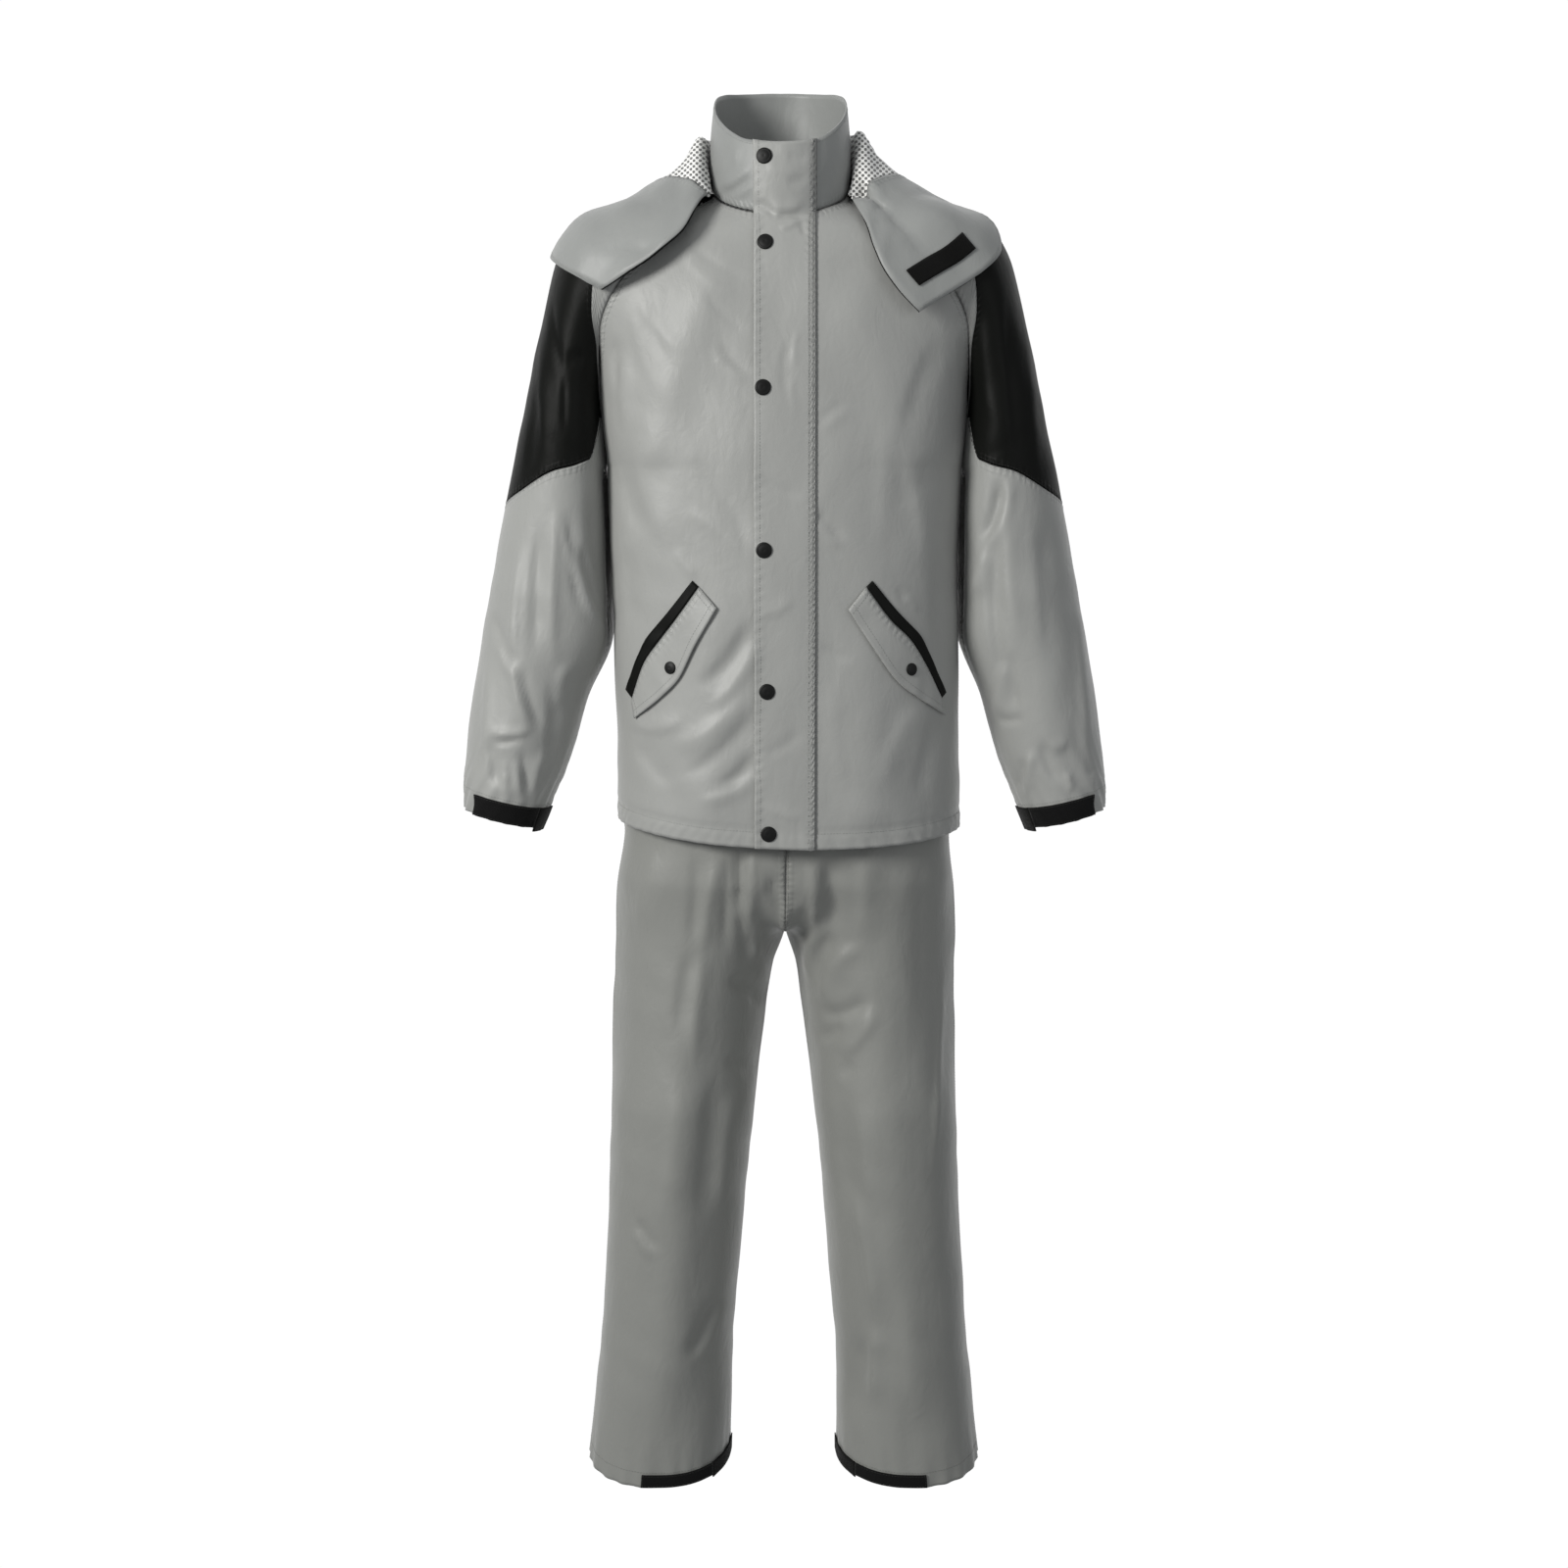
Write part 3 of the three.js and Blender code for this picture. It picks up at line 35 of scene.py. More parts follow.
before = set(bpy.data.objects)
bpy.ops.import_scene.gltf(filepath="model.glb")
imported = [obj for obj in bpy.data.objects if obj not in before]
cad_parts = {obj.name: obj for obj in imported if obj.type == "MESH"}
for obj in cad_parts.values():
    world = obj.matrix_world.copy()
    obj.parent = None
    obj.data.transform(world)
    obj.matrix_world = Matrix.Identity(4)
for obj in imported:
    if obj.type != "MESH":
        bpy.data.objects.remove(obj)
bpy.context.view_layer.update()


# Curves and tables
def smooth(x):
    """Eases from 0 to 1."""
    t = np.clip(x, 0.0, 1.0)
    return t * t * (3.0 - 2.0 * t)


def vec(x, y, z):
    return np.stack(np.broadcast_arrays(x, y, z), axis=-1).astype(float)


def unit(v):
    return v / np.maximum(np.linalg.norm(v, axis=-1, keepdims=True), 1e-9)


def through(xs, ys):
    """Curve through a column of a table that never overshoots its rows."""
    xs, ys = np.array(xs, float), np.array(ys, float)
    gaps = np.diff(xs)
    slopes = np.diff(ys) / gaps
    tangents = np.zeros(len(xs))
    tangents[0], tangents[-1] = slopes[0], slopes[-1]
    for i in range(1, len(slopes)):
        if slopes[i - 1] * slopes[i] > 0:
            w1 = 2 * gaps[i] + gaps[i - 1]
            w2 = gaps[i] + 2 * gaps[i - 1]
            tangents[i] = (w1 + w2) / (w1 / slopes[i - 1] + w2 / slopes[i])

    def curve(x):
        at = np.clip(x, xs[0], xs[-1])
        i = np.clip(np.searchsorted(xs, at, side="right") - 1, 0, len(gaps) - 1)
        t = (at - xs[i]) / gaps[i]
        ends = (1 + 2 * t) * (1 - t) ** 2 * ys[i] + t * t * (3 - 2 * t) * ys[i + 1]
        return ends + (t * (1 - t) ** 2 * tangents[i] - t * t * (1 - t) * tangents[i + 1]) * gaps[i]

    return curve


def table(names, rows):
    """All the columns of a table at once, by its first column."""
    keys, *columns = zip(*sorted(rows))
    curves = {name: through(keys, column) for name, column in zip(names.split()[1:], columns)}
    return lambda x: SimpleNamespace(**{name: curve(x) for name, curve in curves.items()})


def cubic(start, start_handle, end_handle, end, t):
    """Points on cubic curves between two ends with a handle at each."""
    t = np.asarray(t)[..., None]
    s = 1 - t
    return start * s**3 + start_handle * 3 * s * s * t + end_handle * 3 * s * t * t + end * t**3


# Neck ring, which tilts down to the front, and the parts of it that the fronts and the back take
NECK_HALF_WIDTH, NECK_HALF_DEPTH, NECK_MIDDLE_Z, NECK_DROP = 72, 85, 1, 32
FRONT_ARC, BACK_ARC = 75, 120
COLLAR_HEIGHT, COLLAR_FLARE = 76, -2

# Raglan seams, from the neck at s 0 to the underarm at s 1
raglan = table(
    "s frontX frontY frontZ backX backY backZ",
    [
        (0, 69.55, -22, -7.28, 62.35, 42.5, 17),
        (0.16, 106, -62, -33, 102, 86, -24),
        (0.32, 142, -84, -70, 138, 102, -66),
        (0.48, 174, -80, -105, 172, 98, -114),
        (0.64, 192, -62, -150, 189, 78, -160),
        (0.82, 194, -30, -215, 193, 42, -222),
        (1, 190, 0, -288, 190, 0, -288),
    ],
)
# Side seam of the jacket, from the hem at v 0 to the underarm at v 1
side_seam = table(
    "v x z",
    [
        (0, 186.5, -671),
        (0.3, 185.5, -565),
        (0.6, 186, -448),
        (1, 190, -288),
    ],
)
# Half rows of the jacket front, from the middle to the seam; v 2 is the neck
front_rows = table(
    "v midY midZ reach bendX bendY bendZ",
    [
        (0, -125, -685, 122, 0, -86, 0),
        (0.3, -126, -570, 120, 0, -85, 0),
        (0.6, -126, -450, 117, 0, -82, 0),
        (1, -124, -290, 116, 2, -78, 0),
        (1.18, -120, -220, 112, -6, -52, 0),
        (1.36, -115, -160, 100, -32, -30, 0),
        (1.52, -109, -118, 84, -40, -16, 0),
        (1.68, -101, -80, 64, -36, -8, 0),
        (1.84, -93, -54, 50, -22, -22, -14),
        (2, -85, -31, 32, -4, -26, -9),
    ],
)
# Half rows of the jacket back
back_rows = table(
    "v midY midZ reach bendX bendY bendZ",
    [
        (0, 122, -684, 122, 0, 84, 0),
        (0.3, 122, -568, 120, 0, 83, 0),
        (0.6, 124, -450, 117, 0, 80, 0),
        (1, 127, -290, 116, 2, 78, 0),
        (1.18, 129, -222, 112, -6, 52, 0),
        (1.36, 129, -158, 100, -32, 30, 0),
        (1.52, 126, -104, 84, -40, 16, 2),
        (1.68, 117, -42, 62, -36, 10, 6),
        (1.84, 104, -2, 46, -26, 12, 8),
        (2, 85, 33, 26, -12, 20, 6),
    ],
)
# Sleeve rows, from the top or outer point to the front and the back seam; v 1 is the underarm
sleeve_rows = table(
    "v topX topY topZ reach frontX frontY frontZ backX backY backZ",
    [
        (0, 72, 0, 1, 9, 2, 9, 3, 4, -16, -6),
        (0.16, 120, 6, -7, 34, 5, 14, 20, 6, -16, 14),
        (0.32, 170, 10, -18, 56, 14, -2, 38, 14, 0, 34),
        (0.48, 212, 14, -31, 58, 30, -12, 36, 30, 12, 38),
        (0.64, 240, 16, -68, 70, 26, -40, 26, 26, 40, 28),
        (0.82, 261, 16, -150, 92, 14, -76, 12, 14, 70, 12),
        (1, 281, 14, -240, 108, -1, -106, 0, -1, 104, 0),
        (1.12, 290, 13, -284, 108, -14, -107, 0, -34, 105, 0),
        (1.3, 302, 12, -340, 107, -20, -107, 0, -44, 105, 0),
        (1.6, 321, 10, -440, 104, -18, -104, 0, -42, 104, 0),
        (1.9, 336, 4, -526, 97, 0, -97, 0, 0, 97, 0),
        (2.15, 345, -4, -600, 87, 0, -87, 0, 0, 87, 0),
        (2.3, 348, -9, -634, 79, 0, -79, 0, 0, 79, 0),
        (2.4, 347, -12, -655, 72, 0, -72, 0, 0, 72, 0),
    ],
)
# Underarm seam of the sleeve, to the cuff
under_arm = table(
    "v x y z",
    [
        (1, 190, 0, -288),
        (1.12, 194.5, 2, -304),
        (1.3, 194.5, 4, -360),
        (1.6, 193.5, 6, -462),
        (1.9, 216, 4, -545),
        (2.15, 239, -2, -618),
        (2.3, 253, -6, -652),
        (2.4, 263, -9, -676),
    ],
)
# How far round the sleeve the black shoulder piece reaches
shoulder_side = table(
    "v a",
    [
        (0, 1),
        (0.34, 1),
        (0.42, 0.72),
        (0.5, 0.77),
        (0.6, 0.88),
        (0.7, 0.97),
        (0.88, 0.975),
        (1, 0.94),
    ],
)
# Where the black shoulder piece ends, by share of its width
shoulder_end = table(
    "c v",
    [
        (0, 1.28),
        (0.25, 1.21),
        (0.5, 1.12),
        (0.65, 1.075),
        (0.8, 1.0),
        (0.92, 0.93),
        (1, 0.88),
    ],
)
# Lean of the jacket's centre line to the wearer's left, and tilt of its rows
jacket_lean = table(
    "z shift tilt",
    [
        (-700, 5, -0.027),
        (-580, 4, -0.018),
        (-470, 2, 0),
        (-380, 0.5, 0),
        (-60, 0, 0),
        (0, -3.5, 0),
        (120, -3.5, 0),
    ],
)
# Half rows of the trouser fronts, from the side seam to the centre seam and the inner leg
trouser_front = table(
    "v sideX sideZ reach midX midY midZ bendX bendY",
    [
        (0, 150, -530, 58, 0, -98, -532, 84, 0),
        (0.35, 168, -612, 66, 0, -103, -616, 104, 0),
        (0.55, 181.8, -657, 70, 0, -103, -661, 110, -2),
        (0.65, 177, -682, 72, 0, -103, -686, 112, -3),
        (0.85, 184.5, -750, 86, 0, -92, -752, 104, -20),
        (0.95, 185.7, -780, 106, 0, -64, -784, 72, -58),
        (1, 186, -796, 124, 0, 4, -793, 14, -132),
        (1.06, 186.5, -831, 126, 12.5, 6, -829, 4, -132),
        (1.2, 189, -900, 127, 22.5, 6, -900, 0, -129),
        (1.5, 192, -1029, 124, 37, 6, -1029, 0, -124),
        (1.8, 198.5, -1165, 116, 50, 6, -1165, 0, -116),
        (2.2, 209.5, -1302, 108, 59.5, 6, -1302, 0, -108),
        (2.5, 219.5, -1391, 106, 60.5, 6, -1391, 0, -106),
    ],
)
# Half rows of the trouser backs
trouser_back = table(
    "v sideX sideZ reach midX midY midZ bendX bendY",
    [
        (0, 150, -530, 58, 0, 104, -526, 84, 0),
        (0.35, 168, -612, 68, 0, 106, -610, 104, 0),
        (0.55, 181.8, -657, 72, 0, 106, -657, 110, 2),
        (0.65, 177, -682, 74, 0, 106, -682, 112, 3),
        (0.85, 184.5, -750, 92, 0, 102, -750, 108, 18),
        (0.95, 185.7, -780, 108, 0, 70, -785, 74, 56),
        (1, 186, -796, 126, 0, 4, -793, 14, 128),
        (1.06, 186.5, -831, 128, 12.5, 6, -829, 4, 130),
        (1.2, 189, -900, 128, 22.5, 6, -900, 0, 128),
        (1.5, 192, -1029, 124, 37, 6, -1029, 0, 124),
        (1.8, 198.5, -1165, 116, 50, 6, -1165, 0, 116),
        (2.2, 209.5, -1302, 108, 59.5, 6, -1302, 0, 108),
        (2.5, 219.5, -1391, 106, 60.5, 6, -1391, 0, 106),
    ],
)
# Lean of the trousers to the wearer's left
trouser_lean = table(
    "z shift",
    [
        (-700, 2.5),
        (-780, 1.5),
        (-850, 0),
    ],
)
# Hood sections that fan out from the neck; neck and rim are angles, R and Z radii and heights
hood_rows = table(
    "u neck rim bow crestR crestZ fallR fallZ lowR lowZ riseR riseZ rimR rimZ",
    [
        (0, -27, -26, -20, 104, -14, 132, -34, 154, -55, 178, -80, 208, -108),
        (1, -16, -5, -4, 90, 34, 108, 12, 146, -8, 194, -38, 245, -72),
        (2, 4, 18, 0, 85, 55, 104, 27, 142, 4, 196, -24, 234, -58),
        (3, 34, 43, 0, 93, 57, 134, 14, 190, -62, 222, -50, 214, -18),
        (4, 64, 68, 0, 100, 60, 146, -26, 180, -140, 214, -86, 200, 2),
        (5, 90, 90, 0, 102, 62, 146, -36, 176, -166, 212, -96, 194, 8),
        (6, 116, 112, 0, 100, 62, 146, -26, 180, -140, 214, -86, 200, 2),
        (7, 146, 138, 0, 92, 62, 132, 18, 188, -62, 218, -50, 210, -16),
        (8, 172, 170, 0, 84, 62, 101, 36, 138, 8, 168, -8, 188, -18),
        (9, 194, 195, 3, 88, 34, 106, 12, 142, -10, 184, -42, 222, -76),
        (10, 207, 219.5, 15, 98, -20, 124, -46, 144, -76, 160, -104, 178, -132),
    ],
)
# Share of each hood section that the net lining covers
facing_seam = table(
    "u w",
    [
        (0, 0.13),
        (1, 0.42),
        (2, 0.58),
        (3.5, 0.82),
        (5, 0.84),
        (6.5, 0.82),
        (8, 0.58),
        (9, 0.42),
        (10, 0.13),
    ],
)
# Largest folds: from x, z to x, z in front view, half width, height, and the side it is on
FOLDS = [
    (-70, -70, -150, -300, 36, 4, -1),
    (60, -80, 150, -310, 36, 4, -1),
    (-70, -400, -85, -680, 40, 4, -1),
    (80, -440, 90, -680, 38, 4, -1),
    (-70, -290, -90, -680, 42, 5, 1),
    (65, -290, 90, -680, 42, 5, 1),
    (-262, -370, -290, -600, 30, 4, -1),
    (262, -370, 290, -600, 30, 4, -1),
    (-95, -780, -132, -1350, 34, 5, -1),
    (95, -780, 132, -1350, 34, 5, -1),
    (-100, -780, -132, -1350, 36, 5, 1),
    (100, -780, 132, -1350, 36, 5, 1),
]
# Pockets: welt outer and inner line and the free line of the flap, from top to bottom
pocket_right = table(
    "k weltX weltZ lineX lineZ freeX freeZ",
    [
        (0, -94.5, -405, -88, -411, -69, -433),
        (1, -121, -439, -113, -446, -89, -468),
        (2, -145, -469, -130, -468, -109, -508),
        (3, -157, -495, -146, -491, -128, -528),
        (4, -167, -523, -160, -531, -156, -552),
    ],
)
pocket_left = table(
    "k weltX weltZ lineX lineZ freeX freeZ",
    [
        (0, 91, -405, 85, -411, 66, -434),
        (1, 119, -439, 111, -446, 88, -469),
        (2, 143, -465, 132, -467, 118, -511),
        (3, 157, -494, 148, -493, 143, -531),
        (4, 171, -526, 166, -531, 169, -549),
    ],
)
CORNER, CUFF_V, LEG_HEM_DIP = 0.88, 2.4, 16

# The photo's view: the pixels of the middle line and of eye height, the lens in pixels, and the eye in mm
MIDDLE_PX, EYE_PY, LENS_PX = 801, 800, 2547
EYE_AWAY, EYE_Z, EYE_TILT = 2700, -263, math.radians(7.8)
# Enlarged parts of the photo: left and top pixel, and enlargement across and down
WHOLE_PHOTO = (0, 0, 1, 1)
COLLAR_CROP = (660, 80, 6.53, 6.53)
RIGHT_SLEEVE_CROP = (380, 480, 3.268, 3.268)
LEFT_SLEEVE_CROP = (800, 480, 3.268, 3.268)
LEG_CROP = (600, 844, 1568 / 400, 1592 / 406)
# Depths of the cloth where creases were picked
FRONT_Y, COLLAR_Y, LEG_Y, SHOULDER_Y, SLEEVE_Y = -100, -92, -85, -60, -50


def seen_at(px, py, y):
    """X and Z of the point at depth y that the photo shows at a pixel."""
    slope = (EYE_PY - py) / LENS_PX
    level, down = math.cos(EYE_TILT), math.sin(EYE_TILT)
    away = y + EYE_AWAY
    rise = away * (slope * level - down) / (level + slope * down)
    return (px - MIDDLE_PX) * (away * level - rise * down) / LENS_PX, EYE_Z + rise


def seen_creases(crop, y, lean, picks):
    """Creases in front view, each from x, z to x, z, with bow, half width and rise.

    The ends were picked one by one in a crop of the photo, in its pixels. A fold shows as the dark flank on
    its right, and its middle lies beside that by a share of its half width, the lean.
    """
    left, top, across, down = crop
    rows = []
    for x0, y0, x1, y1, bow, half, rise in picks:
        start_x, start_z = seen_at(left + x0 / across, top + y0 / down, y)
        end_x, end_z = seen_at(left + x1 / across, top + y1 / down, y)
        shift = lean * half
        ends = round(start_x + shift), round(start_z), round(end_x + shift), round(end_z)
        rows.append((*ends, bow, half, rise))
    return rows


# Creases, picked one by one: from x, y to x, y in the crop's pixels, then bow, half width and rise in mm
FRONT_CREASES = seen_creases(WHOLE_PHOTO, FRONT_Y, 0, [
    (707, 251, 763, 284, 4, 5, -1.1), (700, 262, 760, 306, 5, 6, 0.8), (651, 302, 702, 361, 6, 8, 1.2),
    (664, 320, 695, 385, 5, 6, -1.1), (645, 310, 672, 398, 6, 8, 1), (720, 300, 762, 340, 3, 5, -1.2),
    (735, 353, 767, 383, 2, 3.5, -2.2), (728, 360, 762, 392, 2, 5, 1.5), (626, 345, 630, 400, 2, 7, -2.5),
    (634, 360, 640, 440, 2, 9, 2), (634, 480, 656, 545, 4, 12, -3), (655, 450, 690, 560, 10, 18, 3),
    (640, 560, 648, 640, 3, 12, -2.5), (768, 560, 712, 470, 6, 9, -1.5), (764, 566, 700, 520, 5, 8, 1.5),
    (768, 632, 716, 700, -6, 11, -4.5), (770, 655, 728, 720, -6, 8, 2.5), (771, 700, 690, 762, -8, 14, 4),
    (772, 722, 700, 790, -6, 9, -2.5), (770, 765, 735, 800, -5, 9, -4), (771, 790, 716, 815, -4, 8, 2.5),
    (640, 740, 700, 735, 6, 10, 2.2), (650, 760, 690, 800, 6, 14, -2.5), (690, 560, 712, 590, 2, 6, 1.2),
    (862, 410, 836, 432, 2, 5, -1), (866, 418, 838, 441, 2, 5, 1), (961, 350, 922, 456, 6, 14, -2),
    (922, 456, 946, 575, -4, 12, 1.8), (905, 430, 900, 560, 0, 14, 2), (834, 520, 863, 550, 2, 6, -2),
    (836, 530, 858, 560, 2, 5, 1.4), (839, 657, 867, 672, 2, 5, -1.5), (926, 609, 939, 624, 0, 4, 1),
    (915, 600, 925, 612, 0, 4, -1), (960, 560, 968, 700, 4, 10, -2.2), (940, 720, 900, 800, 6, 16, 2.2),
    (960, 730, 940, 815, 3, 12, -2.2), (850, 700, 860, 800, 4, 14, 1.6),
])
SLEEVE_CREASES = seen_creases(RIGHT_SLEEVE_CROP, SLEEVE_Y, 0.5, [
    (488, 250, 470, 650, 2, 6, 4.5), (548, 190, 535, 620, 0, 7, -4.5), (612, 130, 600, 640, 2, 6, 3.6),
    (650, 140, 690, 460, 2, 6, -4), (640, 170, 768, 556, 6, 5, 4.5), (700, 250, 745, 440, 2, 5, -3.5),
    (725, 60, 775, 470, 4, 9, -5), (385, 480, 470, 665, 2, 7, -4.5), (410, 560, 475, 690, 2, 6, 3.5),
    (470, 640, 522, 865, 3, 6, 4.5), (500, 650, 560, 860, 3, 6, -3.5), (400, 872, 522, 862, 3, 5, 3.6),
    (405, 900, 500, 884, 2, 5, -3), (372, 640, 378, 1000, 0, 8, 3), (395, 890, 415, 1060, 2, 7, -3.6),
    (478, 960, 490, 1085, 0, 5, 3), (500, 930, 520, 1090, 1, 5, -2.8), (560, 930, 530, 1100, 2, 7, 2.8),
    (640, 640, 610, 800, 3, 8, 3), (600, 700, 590, 980, 0, 9, -3), (450, 1000, 440, 1080, 0, 4, 2),
]) + seen_creases(LEFT_SLEEVE_CROP, SLEEVE_Y, 0.5, [
    (735, 20, 660, 260, -6, 7, 5), (700, 40, 640, 240, -4, 9, -6), (650, 260, 615, 420, -3, 8, 3.5),
    (690, 230, 735, 800, 8, 9, -4.5), (735, 120, 770, 560, 8, 10, 4), (720, 640, 712, 830, 2, 6, 3.8),
    (712, 838, 790, 820, 2, 5, -3), (745, 600, 760, 800, 0, 6, -3), (850, 150, 870, 700, 4, 14, -3),
    (985, 420, 1000, 980, 2, 9, 3), (820, 930, 800, 1080, 2, 5, 3.5), (850, 900, 905, 1040, 4, 6, -3),
    (935, 1000, 945, 1070, 0, 4, 2.5), (1020, 1010, 1035, 1050, 0, 4, 2), (790, 960, 780, 1080, 0, 5, -2.6),
    (870, 920, 930, 890, 3, 8, 2.4),
]) + seen_creases(WHOLE_PHOTO, SHOULDER_Y, 0, [
    (560, 305, 577, 385, 2, 5, -2.5), (577, 385, 578, 440, 0, 4, -2), (552, 330, 560, 470, 2, 8, 2),
    (598, 360, 578, 372, 1, 6, -3), (545, 400, 540, 490, 0, 8, -2), (1030, 300, 1040, 470, 2, 10, -2.5),
    (1005, 330, 1012, 430, 2, 9, 2.5), (1050, 330, 1060, 480, 0, 7, 1.5),
])
TROUSER_CREASES = seen_creases(LEG_CROP, LEG_Y, 0.7, [
    (235, 100, 165, 420, 2, 14, 2.2), (420, 90, 390, 480, 0, 10, -3), (390, 480, 335, 850, 2, 10, -3),
    (495, 130, 440, 500, 3, 8, 4), (440, 500, 400, 930, 2, 8, 3), (550, 70, 528, 500, 0, 6, -3.4),
    (590, 60, 588, 340, 0, 8, -7.5), (588, 340, 610, 580, -2, 7, -3.2), (640, 80, 618, 480, 0, 7, 5),
    (618, 480, 690, 720, -5, 8, 3.6), (556, 620, 680, 770, -3, 9, -4.5),
    (530, 950, 655, 1060, -3, 10, -3.5), (690, 200, 765, 370, -3, 8, -4.5), (664, 360, 650, 560, 0, 5, 3.2),
    (700, 130, 690, 260, 0, 5, 2.6), (885, 130, 895, 420, 0, 6, 5.5), (895, 420, 870, 660, 3, 7, 4.4),
    (935, 90, 955, 430, 0, 11, -6.5), (955, 430, 890, 660, 5, 9, -4.5), (1075, 90, 1065, 470, 0, 15, 4.6),
    (1065, 470, 925, 740, 14, 11, 4), (915, 790, 1110, 690, 4, 9, -5), (905, 890, 1000, 800, 2, 8, -4),
    (990, 930, 1130, 730, 4, 10, 3.4), (1045, 950, 1000, 1010, 0, 6, -2), (800, 250, 835, 300, 0, 4, -2),
    (735, 150, 765, 190, 0, 3, 1.6), (700, 170, 735, 230, 0, 3, -1.6), (795, 170, 830, 120, 0, 3, 1.4),
    (805, 300, 840, 340, 0, 4, 1.6), (1300, 110, 1290, 900, 0, 22, -2.6),
    (1425, 560, 1372, 1400, 0, 5, 2.2), (470, 1010, 420, 1560, 2, 16, -4),
    (340, 1010, 280, 1560, 2, 16, 3.6), (545, 1100, 500, 1560, 2, 12, 3),
    (1060, 1130, 1110, 1560, 0, 14, 3.2), (980, 1050, 1010, 1560, 0, 14, -3.4),
]) + seen_creases(WHOLE_PHOTO, FRONT_Y, 0, [
    (650, 1252, 671, 1280, 1, 6, -3.1), (646, 1262, 664, 1290, 1, 6, 2.3),
    (703, 1395, 733, 1338, 2, 10, -4.7), (872, 1225, 897, 1362, -4, 10, 5),
    (897, 1362, 893, 1445, 2, 10, 4.5), (882, 1380, 872, 1470, 2, 14, -4.5),
]) + [
    (135, -1180, 154, -1340, 4, 20, 3.4),
]
COLLAR_CREASES = seen_creases(COLLAR_CROP, COLLAR_Y, 0, [
    (480, 760, 700, 640, 3, 4, -3.2), (610, 810, 705, 752, 2, 3, -2.2), (500, 700, 690, 600, 3, 6, 1.6),
    (530, 560, 545, 420, 0, 4, -0.9), (600, 420, 590, 560, 0, 5, 0.8), (1180, 880, 1320, 790, 2, 4, -1.4),
    (1210, 560, 1200, 740, 0, 6, -1),
])
# Height of the collar's top edge round the neck, from the front at 0 to the back at 180
collar_top = table(
    "degrees rise",
    [
        (0, -4), (30, -4), (45, -1), (60, 3), (75, 7), (90, 11),
        (105, 13), (120, 11), (140, 6), (160, 3), (180, 2),
    ],
)
FLAP_CREASES = seen_creases(COLLAR_CROP, COLLAR_Y, 0, [
    (940, 505, 1070, 525, 2, 4, -1.7), (800, 570, 1010, 640, 3, 6, 1.3), (725, 820, 860, 940, -3, 4, -2.4),
    (860, 935, 1060, 935, -3, 4, -1.9), (835, 850, 1050, 825, 4, 5, 1.9), (890, 1005, 1010, 960, 2, 4, 1.5),
    (1030, 960, 1065, 1060, 1, 3, -1.5), (940, 690, 1070, 660, 2, 4, -1.5), (760, 470, 900, 450, 2, 3, -1),
]) + [
    (14, -150, 12, -190, 3, 4, 0.7), (8, -196, 12, -232, 3, 4, 0.6), (4, -160, 2, -220, 4, 6, -0.9),
    (-24, -300, 16, -318, 3, 6, -1.2), (-26, -440, 10, -424, 3, 7, 1.2), (-22, -585, 18, -560, 4, 7, -1.2),
    (-20, -640, 20, -652, 2, 6, 1.2),
]

# Storm flap, press studs, pockets and tapes
FLAP_FREE_X, FLAP_SEWN_X = -30.5, 33
FRONT_SNAPS = [
    ("snap_1", -20.2, 27), ("snap_2", -19.3, -60), ("snap_3", -21.5, -207.5),
    ("snap_4", -20.5, -373), ("snap_5", -17.5, -519), ("snap_6", -16, -668.5),
]
POCKET_SNAPS = [("right", -118.5, -496), ("left", 133, -498)]
STUD_SIDES = 48
STUD_PROFILE = [
    (0.97, 0.0), (1.0, 0.5), (0.99, 1.1), (0.94, 1.55), (0.86, 1.8), (0.76, 1.9), (0.7, 1.88),
    (0.64, 1.98), (0.45, 2.25), (0.28, 2.36), (0.15, 2.34), (0.07, 2.28), (0.0, 2.26),
]
# Cuff tape round the sleeve: start and end in sevenths of the shoulder piece, and the end of its tab
CUFF_TAPE_SEVENTHS, CUFF_TAB_A = (-2, -6), -0.995
HEM_TAPE_T = (0.425, 0.775, 1.0)
HOOK_TAPE_ENDS = ((9.83, 0.74), (9.17, 0.74))
HOOK_TAPE_WIDTH = 0.125
HOOD_REST, HOOD_CLEAR = 4.5, 2.8

# Fineness of the cloth grids
LOW_ROWS, SEAM_ROWS, CORNER_ROWS = 110, 72, 10
FRONT_COLUMNS, BACK_COLUMNS, SLEEVE_COLUMNS, STRIP_COLUMNS, SLEEVE_ROWS = 72, 104, 96, 6, 96
COLLAR_COLUMNS, COLLAR_ROWS, FLAP_COLUMNS, POCKET_ROWS = 176, 18, 30, 48
LEG_COLUMNS, LEG_ROWS = 60, 200
HOOD_COLUMNS, HOOD_NET_ROWS, HOOD_FACING_ROWS = 150, 24, 28

# Colours, as screen values
# The collar and hood facing grey is the jacket grey, darkened by painted shade from the hood
JACKET_GREY, SHADED_JACKET_GREY = (151, 152, 149), (139, 141, 139)
# The trouser grey is the jacket's cloth, darkened by painted shade
PANEL_BLACK, SHADED_TROUSER_GREY = (14, 15, 13), (132, 133, 129)
NET_GREY, TAPE_BLACK, HOOK_BLACK, SNAP_BLACK = (238, 238, 235), (12, 12, 12), (6, 6, 5), (9, 10, 9)
THREAD_GREY, THREAD_BLACK, THREAD_TROUSERS = (132, 134, 131), (24, 25, 23), (108, 109, 106)


# Form of the jacket
def neck_point(degrees):
    """Point on the neck ring; 0 is the front, 90 the side, 180 the back."""
    angle = np.radians(degrees)
    z = NECK_MIDDLE_Z - NECK_DROP * np.cos(angle)
    return vec(NECK_HALF_WIDTH * np.sin(angle), -NECK_HALF_DEPTH * np.cos(angle), z)


